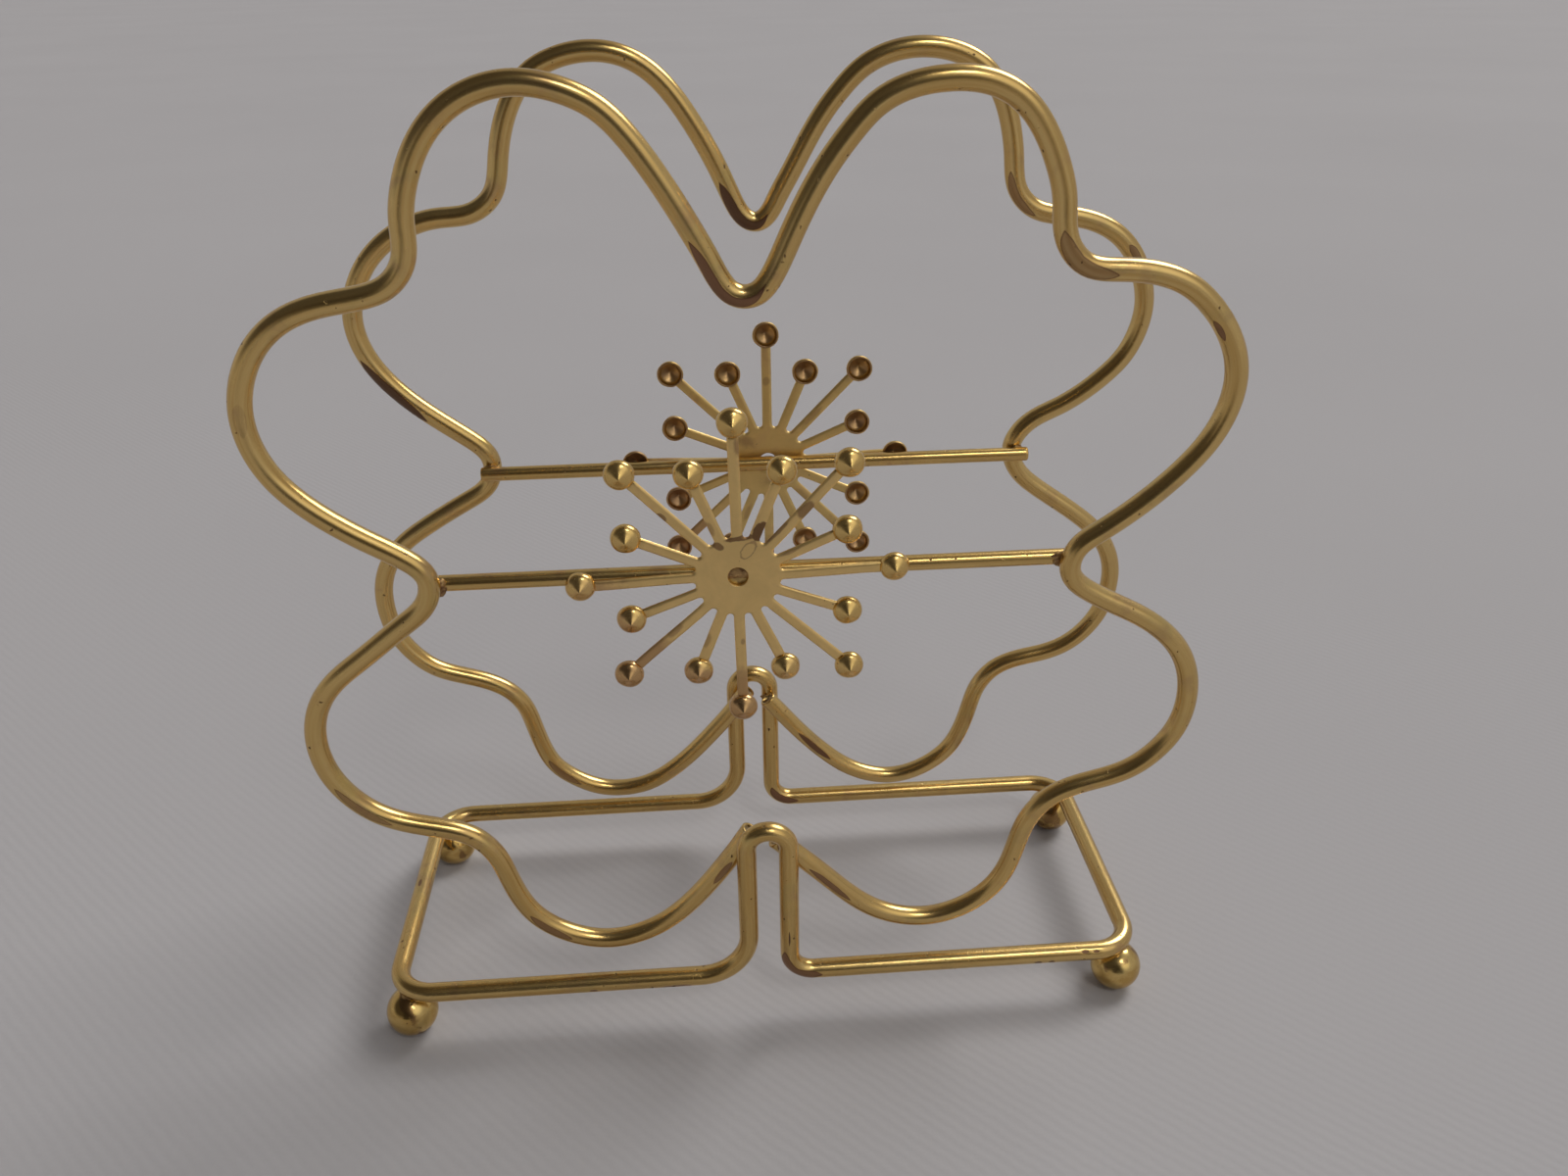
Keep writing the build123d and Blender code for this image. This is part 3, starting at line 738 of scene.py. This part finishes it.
def brass_ball(name):
    mat = material_graph(name)
    pos = mat.position()
    heat = mat.attribute("heat")
    cloud = mat.noise(pos, scale=150.0, detail=4.0, warp=0.8)
    mottle = mat.noise(pos, scale=420.0)
    broad = mat.noise(pos, scale=95.0, detail=2.0, rough=0.5, warp=1.2)
    speck = mat.noise(pos, scale=1000.0, detail=1.0, rough=0.4)
    colour = mat.mix((0.58, 0.375, 0.12), (0.74, 0.53, 0.20),
                     amount=mat.ramp(cloud, lo=0.38, hi=0.62))
    tarnish = mat.ramp(heat * 0.55 + mottle * 0.6, lo=0.40, hi=0.70)
    colour = mat.mix(colour, COPPER, tarnish, strength=0.62)
    # brown handling stains with a crisp edge
    stain = mat.ramp(broad * 0.8 + mottle * 0.2, lo=0.56, hi=0.60)
    colour = mat.mix(colour, (0.20, 0.10, 0.05), stain, strength=0.72)
    burn = mat.ramp(heat * 0.8 + mottle * 0.5, lo=0.88, hi=1.08)
    colour = mat.mix(colour, BURNT, burn, strength=0.8)
    pit = mat.ramp(speck, lo=0.73, hi=0.77)
    colour = mat.mix(colour, BURNT, pit, strength=0.7)
    rough = 0.14 + mat.ramp(cloud, lo=0.4, hi=0.7) * 0.10 + stain * 0.12
    rough = mat.math("ADD", rough, tarnish * 0.10, clamp=True)
    return mat.finish(colour, rough, mat.bump(mottle * 0.6 + pit * -1.0, distance=0.00004))


def weld_metal(name, dark, bright, shine):
    mat = material_graph(name)
    pos = mat.position()
    lumps = mat.noise(pos, scale=700.0, detail=4.0, rough=0.65)
    grain = mat.noise(pos, scale=1800.0, detail=2.0)
    colour = mat.mix(dark, bright, amount=mat.ramp(lumps, lo=0.34, hi=0.58))
    colour = mat.mix(colour, shine, mat.ramp(grain, lo=0.54, hi=0.7), strength=0.6)
    return mat.finish(colour, 0.30 + lumps * 0.3, mat.bump(lumps + grain, distance=0.00008))


def floor_material():
    mat = material_graph("pale_floor")
    pos = mat.position()
    cloud = mat.noise(pos, scale=3.0, rough=0.5)
    grain = mat.noise(pos, scale=900.0, detail=2.0)
    weave = mat.value("ShaderNodeTexWave", {
        "Vector": pos, "Scale": 190.0, "Distortion": 1.2, "Detail": 1.0}, output="Fac",
        wave_type="BANDS", bands_direction="DIAGONAL")
    colour = mat.mix((0.465, 0.450, 0.467), (0.515, 0.500, 0.517), amount=cloud)
    colour = mat.mix(colour, (0.405, 0.39, 0.41), grain, strength=0.25)
    normal = mat.bump(weave * 0.6 + grain * 0.6, distance=0.0002, strength=0.2)
    return mat.finish(colour, 0.9, normal, metal=0.0)


MAT_WIRE = brass_wire("brass_wire_polished", rough=0.235)
MAT_BASE = brass_wire("brass_wire_base", rough=0.26, tint=0.06, streak=0.4)
MAT_ROD = brass_wire("brass_rod_satin", rough=0.24, tint=0.14, streak=0.3, scorch=0.85)
# the front sheet's bare colour is brighter than the rear's: painted sheen that stands in for
# light the front disc catches, over the same brass
MAT_SHEET = {
    "front": brass_sheet("brass_sheet_front", FACES[0], rough=0.40, bare_and_sheen=(0.90, 0.635, 0.262)),
    "rear": brass_sheet("brass_sheet_rear", FACES[1], rough=0.46, bare_and_sheen=(0.78, 0.565, 0.225)),
}
MAT_BALL = brass_ball("brass_ball_polished")
MAT_WELD = weld_metal("weld_metal", dark=(0.20, 0.105, 0.055), bright=(0.46, 0.29, 0.13),
                      shine=(0.66, 0.46, 0.19))
MAT_NUGGET = weld_metal("weld_nugget", dark=(0.42, 0.28, 0.12), bright=(0.62, 0.45, 0.17),
                        shine=(0.74, 0.55, 0.22))


# ---------------------------------------------------------------------------------------
# Base wire, flower frames and rods
# ---------------------------------------------------------------------------------------
def frame_point(face, x, z):
    """A point of a flower frame's own plane (x, height above the base wire) in space."""
    angle = math.radians(face.roll)
    z = z - HOOP_RISE
    return np.array([face.shift + x * math.cos(angle) - z * math.sin(angle),
                     face.side * FLOWER_Y,
                     HOOP_TOP + x * math.sin(angle) + z * math.cos(angle)])


def foot_xy(side_x, side_y):
    return side_x * (BASE_L / 2 - FOOT_INSET), side_y * (BASE_D / 2 - FOOT_INSET)


def base_path():
    half_x, half_y = BASE_L / 2, BASE_D / 2
    arch_z = HOOP_TOP - HOOP_HALF
    corner_x, corner_y = half_x - CORNER_R, half_y - CORNER_R
    left_x, left_z = -HOOP_HALF - BEND_L, BASE_Z + BEND_L
    right_x, right_z = HOOP_HALF + BEND_R, BASE_Z + BEND_R
    # centre, first and last angle in quarter turns from +x, second axis, radius
    arcs = (
        ((right_x, half_y, right_z), -1, -2, AXIS_Z, BEND_R),
        ((0, half_y, arch_z), 0, 2, AXIS_Z, HOOP_HALF),
        ((left_x, half_y, left_z), 0, -1, AXIS_Z, BEND_L),
        ((-corner_x, corner_y, BASE_Z), 1, 2, AXIS_Y, CORNER_R),
        ((-corner_x, -corner_y, BASE_Z), 2, 3, AXIS_Y, CORNER_R),
        ((left_x, -half_y, left_z), -1, 0, AXIS_Z, BEND_L),
        ((0, -half_y, arch_z), 2, 0, AXIS_Z, HOOP_HALF),
        ((right_x, -half_y, right_z), 2, 3, AXIS_Z, BEND_R),
        ((corner_x, -corner_y, BASE_Z), -1, 0, AXIS_Y, CORNER_R),
        ((corner_x, corner_y, BASE_Z), 0, 1, AXIS_Y, CORNER_R),
    )
    # the seam lies in the rear right run
    points = [np.array([40.0, half_y, BASE_Z])]
    for centre, first, last, axis, radius in arcs:
        for angle in np.linspace(first * math.pi / 2, last * math.pi / 2, 40):
            points.append(np.array(centre) + radius * (
                math.cos(angle) * np.array(AXIS_X) + math.sin(angle) * np.array(axis)))
    return resample(np.array(points), BASE_STEP, closed=True)


def base_wire():
    heat = []
    for face in FACES:
        y = face.side * (BASE_D / 2 - 1.6)
        heat += [(-HOOP_HALF, y, HOOP_TOP - 4.5, 0.85, 5.0),
                 (HOOP_HALF, y, HOOP_TOP - 5.5, 0.85, 5.0)]
    for _, side_x, side_y in CORNERS:
        heat.append((*foot_xy(side_x, side_y), BASE_Z - 1.6, 0.9, 5.5))
    marks = MARKS["base"]
    wire_piece("base_wire", base_path(), WIRE_R, heat, marks, MAT_BASE, "wire_brass",
               "base_frame", closed=True, normal=AXIS_Z, shape=wire_shape(marks, FLAT_BASE))


def flower_wire(face):
    path = spline([frame_point(face, x, z) for x, z in OUTLINE[face.name]], FLOWER_STEP)
    left, right, rod_z = face.rod
    inner_y, outer_y = face.side * (FLOWER_Y - 1.6), face.side * (FLOWER_Y + 1.6)
    heat = [(left + 1.5, inner_y, rod_z, 0.95, 7.0),
            (right - 1.5, inner_y, rod_z, 0.8, 6.0),
            (-3.5 + face.shift, outer_y, HOOP_TOP - 3.5, 0.9, 5.5),
            (3.5 + face.shift, outer_y, HOOP_TOP - 5.0, 0.9, 5.5)]
    for x, z, strength, reach in FLOWER_HEAT:
        heat.append((*frame_point(face, x, z), strength, reach))
    marks = MARKS[face.name]
    wire_piece(face.name + "_flower_wire", path, WIRE_R, heat, marks, MAT_WIRE, "wire_brass",
               face.name + "_flower_frame", shape=wire_shape(marks, FLAT_FLOWER))


def cross_rod(face):
    left, right, z = face.rod
    y = face.side * ROD_Y
    path = np.array([[x, y, z] for x in np.linspace(left, right, 160)])
    heat = [(left + 1, y, z, 1.0, 11.0), (right - 1, y, z, 0.85, 6.0),
            (face.hub[0], face.side * (ROD_Y + 1), z, 0.6, 7.0)]
    heat += [(x, y, z + rise, strength, reach)
             for x, rise, strength, reach in ROD_HEAT[face.name]]
    wire_piece(face.name + "_rod", path, ROD_R, heat, (), MAT_ROD, "rod_brass",
               face.name + "_cross_rod", sides=44, normal=AXIS_Z, cap_round=0.25)


# ---------------------------------------------------------------------------------------
# Starbursts: stamped blank with a rolled edge, and hollow pointed cups, joined into one
# skin. Built in the sheet's own frame: x right, y up, z away from the middle of the stand.
# ---------------------------------------------------------------------------------------
def arm_angle(arm):
    return math.radians(90 - ARM_PITCH * arm)


def arm_reach(arm):
    return LONG_R if arm % 2 == 0 else SHORT_R


def bent(face, points):
    """Points of the sheet after bending: unmoved inside the disc, full set at the cup."""
    points = np.array(points, float)
    radius = np.hypot(points[:, 0], points[:, 1])
    angle = np.degrees(np.arctan2(points[:, 1], points[:, 0]))
    arm = np.round((90 - angle) / ARM_PITCH).astype(int) % ARMS
    reach = np.where(arm % 2 == 0, LONG_R, SHORT_R)
    full_set = np.array([BENDS[face.name].get(i, (0, 0)) for i in range(ARMS)], float)
    k = np.clip((radius - SET_START) / (reach - SET_SHORTFALL - SET_START), 0, 1)
    return points + (k * k * (3 - 2 * k) * 0.35 + k * 0.65)[:, None] * full_set[arm]


def cup_centre(face, arm):
    reach, angle = arm_reach(arm), arm_angle(arm)
    return bent(face, [(reach * math.cos(angle), reach * math.sin(angle))])[0]


def burst_outline():
    """Clockwise outline before bending; rounded slots part the arms at the disc."""
    half = math.radians(ARM_PITCH / 2)
    slot_r = (DISC_R * math.sin(half) - ARM_HALF) / (1 - math.sin(half))
    slot_at = (slot_r + ARM_HALF) / math.sin(half)
    start = slot_at * math.cos(half)
    points = []
    for arm in range(ARMS):
        angle = arm_angle(arm)
        end = arm_reach(arm) - ARM_SHORTFALL
        out = np.array([math.cos(angle), math.sin(angle)])
        left = np.array([-math.sin(angle), math.cos(angle)])
        count = int((end - start) / 1.0)
        points += [out * x + left * ARM_HALF for x in np.linspace(start, end, count)]
        points += [out * end + left * y for y in (0.28, 0.0, -0.28)]
        points += [out * x - left * ARM_HALF for x in np.linspace(end, start, count)]
        # round the bottom of the slot to the next arm
        centre = slot_at * np.array([math.cos(angle - half), math.sin(angle - half)])
        first = angle + math.pi / 2
        for turn in np.linspace(first, first + (math.pi - 2 * half), 13)[1:-1]:
            points.append(centre + slot_r * np.array([math.cos(turn), math.sin(turn)]))
    # remove doubles
    kept = points[:1]
    for point in points[1:]:
        if np.linalg.norm(point - kept[-1]) > 1e-4:
            kept.append(point)
    if np.linalg.norm(kept[0] - kept[-1]) < 1e-4:
        kept.pop()
    return np.array(kept)


def into_metal(loop):
    """Mitred normals to the right of travel: into the metal for a clockwise outline and
    for a counter-clockwise hole."""
    before = loop - np.roll(loop, 1, 0)
    after = np.roll(loop, -1, 0) - loop
    before /= np.linalg.norm(before, axis=1)[:, None]
    after /= np.linalg.norm(after, axis=1)[:, None]
    travel = before + after
    travel /= np.maximum(np.linalg.norm(travel, axis=1), 1e-9)[:, None]
    normals = np.column_stack([travel[:, 1], -travel[:, 0]])
    side = np.column_stack([after[:, 1], -after[:, 0]])
    mitre = 1 / np.maximum(np.einsum("ij,ij->i", normals, side), 0.5)
    return normals * mitre[:, None]


def burst_blank(name, face):
    outer = bent(face, burst_outline())
    hole = np.array([[HUB_HOLE_R * math.cos(a), HUB_HOLE_R * math.sin(a)]
                     for a in np.linspace(0, 2 * math.pi, 49)[:-1]])
    outer_in, hole_in = into_metal(outer), into_metal(hole)
    # both faces are crowned toward the edge by the stamping: (inset, height)
    profile = [(CROWN * (1 - math.sin(a)), SHEET / 2 * (1 - math.cos(a)))
               for a in np.radians([0, 9, 20, 33, 48, 66, 90, 114, 132, 147, 160, 171, 180])]
    verts, faces = [], []
    outer_rings, hole_rings = [], []
    for inset, z in profile:
        outer_rings.append(len(verts))
        verts += [(x, y, z) for x, y in outer + outer_in * inset]
        hole_rings.append(len(verts))
        verts += [(x, y, z) for x, y in hole + hole_in * inset * 0.3]
    outer_n, hole_n = len(outer), len(hole)
    for i in range(len(profile) - 1):
        a, b = outer_rings[i], outer_rings[i + 1]
        faces += [(a + k, a + (k + 1) % outer_n, b + (k + 1) % outer_n, b + k)
                  for k in range(outer_n)]
        a, b = hole_rings[i], hole_rings[i + 1]
        faces += [(a + k, b + k, b + (k + 1) % hole_n, a + (k + 1) % hole_n)
                  for k in range(hole_n)]
    for ring in (0, -1):
        a, b = outer_rings[ring], hole_rings[ring]
        loops = [[Vector((*verts[first + k][:2], 0)) for k in range(count)]
                 for first, count in ((a, outer_n), (b, hole_n))]
        for triangle in tessellate_polygon(loops):
            faces.append(tuple(a + t if t < outer_n else b + (t - outer_n)
                               for t in triangle))
    ob = new_object(name, verts, faces)
    face_outwards(ob.data, merge=1e-5)
    return ob


def bezier(p0, p1, p2, p3, count):
    """Points of a cubic curve after its first point."""
    return [tuple((1 - t) ** 3 * a + 3 * (1 - t) ** 2 * t * b + 3 * (1 - t) * t * t * c
                  + t**3 * d for a, b, c, d in zip(p0, p1, p2, p3))
            for t in np.linspace(0, 1, count)[1:]]


def cup_profile():
    """(radius, height) of a hollow pointed cup, from its point round the rim to the inside."""
    radius, height = CUP_R, CUP_H
    # outside: a small point, a short cone, a full round shoulder down to the rim
    profile = [(0.0, height), (0.10, height - 0.03), (0.24, height - 0.12)]
    profile += [(r, height - 0.12 - (r - 0.24) * 0.66) for r in (0.45, 0.70, 0.95, 1.20)]
    cone_z = profile[-1][1]
    profile += bezier((1.20, cone_z), (1.95, cone_z - 0.50), (radius, 1.45), (radius, 0.30), 13)
    profile += [(radius, 0.10), (radius - 0.04, 0.02), (radius - 0.12, -0.03),
                (radius - 0.32, -0.03), (radius - 0.40, 0.02), (radius - 0.44, 0.12)]
    # inside
    profile += bezier((radius - 0.44, 0.12), (radius - 0.46, 1.10), (1.70, cone_z - 0.85),
                      (1.05, cone_z - 0.40), 9)
    profile += [(r, cone_z - 0.40 + (1.05 - r) * 0.60) for r in (0.80, 0.50, 0.22)]
    profile.append((0.0, cone_z - 0.40 + 0.60))
    return profile


def burst_cups(face):
    verts, faces = [], []
    for arm in range(ARMS):
        seed = arm * 1.7 + (0 if face.side < 0 else 5)
        revolve(verts, faces, cup_profile(), cup_centre(face, arm), 40, turn=arm_angle(arm),
                wobble=lambda angle: (1 + 0.008 * math.sin(3 * angle + seed)
                                      + 0.006 * math.sin(5 * angle + 2 * seed)))
    cups = new_object(face.name + "_cups_tmp", verts, faces)
    face_outwards(cups.data)
    return cups


def tip_field(face, points):
    """Tarnish of the arm ends, stronger toward the lower left."""
    right, up = points[:, 0] - face.hub[0], points[:, 2] - face.hub[1]
    low = np.clip((-0.72 * up - 0.45 * np.clip(right, -20, 30)) / 24, -0.3, 1)
    rear = 0.3 if face.side > 0 else 0
    outer = np.clip((np.hypot(right, up) - 15) / 6, 0, 1)
    return outer * np.clip(0.38 + 0.75 * low + rear, 0, 1)


def starburst(face):
    blank = burst_blank(face.name + "_starburst", face)
    cups = burst_cups(face)
    join = blank.modifiers.new("join", "BOOLEAN")
    join.operation, join.solver, join.object = "UNION", "EXACT", cups
    depsgraph = bpy.context.evaluated_depsgraph_get()
    mesh = bpy.data.meshes.new_from_object(blank.evaluated_get(depsgraph))
    blank.modifiers.clear()
    blank.data = mesh
    bpy.data.objects.remove(cups)

    x, y, z = read_points(mesh).T
    # insides of the cups lie below the middle of their wall: radius to height
    centres = np.array([cup_centre(face, arm) for arm in range(ARMS)])
    radius = np.hypot(x[:, None] - centres[:, 0], y[:, None] - centres[:, 1]).min(1)
    middle = np.interp(radius, [0, 1.2, 1.9, 2.3, 2.75], [2.55, 1.95, 1.25, 0.06, 0.0])
    write_attribute(mesh, "hollow", (radius < CUP_R - 0.10) & (z < middle))
    write_attribute(mesh, "cup", radius < CUP_R + 0.05)
    placed = np.column_stack([face.hub[0] + x, face.side * (DISC_Y + z), face.hub[1] + y])
    mesh.vertices.foreach_set("co", (placed * MM).astype(np.float32).ravel())
    face_outwards(mesh, merge=2e-6)
    shade_smooth(mesh)
    mesh.set_sharp_from_angle(angle=math.radians(34))
    flat = blank.modifiers.new("flat_faces", "WEIGHTED_NORMAL")
    flat.mode, flat.keep_sharp, flat.weight = "FACE_AREA", True, 60
    write_attribute(mesh, "tip", tip_field(face, read_points(mesh) / MM))
    give(blank, MAT_SHEET[face.name], "sheet_brass", face.name + "_starburst")


# ---------------------------------------------------------------------------------------
# Ball feet and weld metal
# ---------------------------------------------------------------------------------------
def foot(corner, side_x, side_y):
    """Ball with a worn flat underneath."""
    centre = foot_xy(side_x, side_y)
    centre_z = math.sqrt(BALL_R**2 - FOOT_FLAT**2)
    profile = [(0.0, 0.0), (FOOT_FLAT * 0.5, 0.0), (FOOT_FLAT * 0.93, 0.004)]
    for angle in np.linspace(math.asin(FOOT_FLAT / BALL_R) + 0.03, math.pi, 60)[:-1]:
        profile.append((BALL_R * math.sin(angle), centre_z - BALL_R * math.cos(angle)))
    profile.append((0.0, centre_z + BALL_R))
    verts, faces = [], []
    revolve(verts, faces, profile, centre, 72)
    ob = new_object(corner + "_ball", np.array(verts) * MM, faces)
    face_outwards(ob.data)
    heat = heat_field(read_points(ob.data) / MM, [(*centre, centre_z + BALL_R, 0.9, 5.0)])
    write_attribute(ob.data, "heat", heat)
    give(ob, MAT_BALL, "foot_brass", corner + "_foot")


def bead(name, centre, half_sizes, seed, axes=(AXIS_X, AXIS_Y, AXIS_Z), slot="wire_brass",
         lump=0.28, material=MAT_WELD):
    """Irregular lump of weld metal with its half sizes along the axes."""
    bm = bmesh.new()
    bmesh.ops.create_icosphere(bm, subdivisions=4, radius=1.0)
    axes = [Vector(axis).normalized() for axis in axes]
    offset = Vector((seed * 3.1, seed * 1.7, seed * 2.3))
    for vert in bm.verts:
        out = vert.co.normalized()
        k = (1 + lump * noise.noise(out * 1.6 + offset)
             + lump * 0.6 * noise.noise(out * 3.7 + offset))
        point = Vector(centre)
        for axis, size, part in zip(axes, half_sizes, out):
            point = point + axis * (size * part * k)
        vert.co = point * MM
    bmesh.ops.recalc_face_normals(bm, faces=bm.faces)
    mesh = bpy.data.meshes.new(name)
    bm.to_mesh(mesh)
    bm.free()
    shade_smooth(mesh)
    give(link_object(name, mesh), material, slot)


def face_welds(face):
    side, name = face.side, "weld_" + face.name
    hub_x, z = face.hub[0], face.rod[2]
    rod_y = side * (FLOWER_Y - WIRE_R + 0.1)
    left, right = frame_point(face, -57.4, 94)[0], frame_point(face, 57.4, 94)[0]
    bead(name + "_rod_left", (left + 0.5, rod_y, z - 0.1), (1.9, 0.85, 1.75), 1 + side)
    bead(name + "_rod_right", (right - 0.5, rod_y, z + 0.1), (1.6, 0.75, 1.5), 4 + side)
    hoop_y = side * (BASE_D / 2 - WIRE_R + 0.12)
    bead(name + "_end_left", (-HOOP_HALF + 0.5, hoop_y, HOOP_TOP - 5.2), (2.3, 0.7, 1.25),
         7 + side, axes=((0.64, 0, 0.77), AXIS_Y, (-0.77, 0, 0.64)))
    bead(name + "_end_right", (HOOP_HALF - 0.1, hoop_y, HOOP_TOP - 6.7), (2.3, 0.7, 1.25),
         10 + side, axes=((0.7, 0, -0.7), AXIS_Y, (0.7, 0, 0.7)))
    bead(name + "_hub", (hub_x, side * (DISC_Y - 0.15), z), (5.2, 0.42, 1.15), 13 + side,
         slot="sheet_brass", lump=0.2)
    bead(name + "_nugget", (hub_x, side * (DISC_Y - 0.30), z - 1.25), (2.3, 0.45, 1.45),
         16 + side, slot="sheet_brass", lump=0.12, material=MAT_NUGGET)


def foot_weld(corner, side_x, side_y):
    bead(f"weld_{corner}_foot", (*foot_xy(side_x, side_y), BASE_Z - WIRE_R + 0.15),
         (2.4, 1.75, 0.55), 20 + side_x + 2 * side_y,
         axes=((side_x, -side_y, 0), (side_x, side_y, 0), AXIS_Z), slot="foot_brass", lump=0.22)


base_wire()
for build in (flower_wire, cross_rod, starburst):
    for face in FACES:
        build(face)
for corner in CORNERS:
    foot(*corner)
for face in FACES:
    face_welds(face)
for corner in CORNERS:
    foot_weld(*corner)


# ---------------------------------------------------------------------------------------
# Stage: plain pale floor, soft studio room, camera
# ---------------------------------------------------------------------------------------
# Patches of the room, later ones over earlier: azimuth from the front (-Y) toward the right
# (+X), elevation, full within and gone beyond (degrees), strength (None: full), colour
ROOM_PATCHES = (
    (-50, 52, 36, 56, 0.92, (0.042, 0.037, 0.033)),
    (-6, 10, 14, 32, 0.94, (0.030, 0.027, 0.025)),
    (38, 36, 8, 29, 0.85, (1.00, 0.98, 0.91)),
    (126, 48, 11, 17, None, (8.0, 7.9, 7.6)),
    (23, 51, 3, 7, None, (11.0, 10.8, 10.3)),
)
ROOM_LOW, ROOM_HIGH = (0.40, 0.39, 0.395), (0.33, 0.325, 0.325)
BACKDROP = (0.50, 0.485, 0.505)

CAMERA_AT = (-9.285, -223.28, 193.84 + BASE_Z)
CAMERA_PITCH, CAMERA_YAW, CAMERA_ROLL = 27.71, 3.93, -0.74  # degrees
SENSOR, LENS = 36.0, 28.125


def studio_floor():
    # metres
    corners = [(-30, -0.75, 0), (30, -0.75, 0), (30, 30, 0), (-30, 30, 0)]
    floor = new_object("floor", corners, [(0, 1, 2, 3)], smooth=False)
    floor.data.materials.append(floor_material())


def studio_world():
    world = bpy.data.worlds.new("studio")
    bpy.context.scene.world = world
    sky = Graph(world)
    look = sky.position("Generated")
    room = sky.mix(ROOM_LOW, ROOM_HIGH, amount=sky.ramp(sky.split(look)[2], lo=0.1, hi=0.9))
    for azimuth, elevation, within, beyond, strength, colour in ROOM_PATCHES:
        a, e = math.radians(azimuth), math.radians(elevation)
        toward = (math.sin(a) * math.cos(e), -math.cos(a) * math.cos(e), math.sin(e))
        closeness = sky.value("ShaderNodeVectorMath", {0: look, 1: toward}, output="Value",
                              operation="DOT_PRODUCT")
        patch = sky.ramp(closeness, lo=math.cos(math.radians(beyond)),
                         hi=math.cos(math.radians(within)))
        room = sky.mix(room, colour, patch, strength=strength)
    # the camera sees a plain backdrop, the metal reflects the room
    lit = sky.value("ShaderNodeBackground", {0: room})
    seen = sky.value("ShaderNodeBackground", {0: BACKDROP})
    is_camera = sky.value("ShaderNodeLightPath", {}, output="Is Camera Ray")
    mixed = sky.value("ShaderNodeMixShader", {0: is_camera, 1: lit, 2: seen})
    sky.add("ShaderNodeOutputWorld", {0: mixed})


def studio_camera():
    def turn_z(degrees):
        c, s = math.cos(math.radians(degrees)), math.sin(math.radians(degrees))
        return np.array([[c, -s, 0], [s, c, 0], [0, 0, 1]])

    c, s = math.cos(math.radians(CAMERA_PITCH)), math.sin(math.radians(CAMERA_PITCH))
    tilt = np.array([[1, 0, 0], [0, c, -s], [0, s, c]])
    level = np.array([[1, 0, 0], [0, 0, -1], [0, 1, 0]], float)
    right, down, forward = turn_z(CAMERA_ROLL) @ tilt @ level @ turn_z(CAMERA_YAW)
    camera = bpy.data.cameras.new("camera")
    camera.sensor_width, camera.lens = SENSOR, LENS
    camera.clip_start, camera.clip_end = 0.01, 100
    ob = bpy.data.objects.new("camera", camera)
    matrix = Matrix.Identity(4)
    for i in range(3):
        matrix[i] = right[i], -down[i], -forward[i], CAMERA_AT[i] * MM
    ob.matrix_world = matrix
    scene = bpy.context.scene
    scene.collection.objects.link(ob)
    scene.camera = ob
    scene.view_settings.view_transform = "Standard"
    scene.view_settings.look = "None"


studio_floor()
studio_world()
studio_camera()
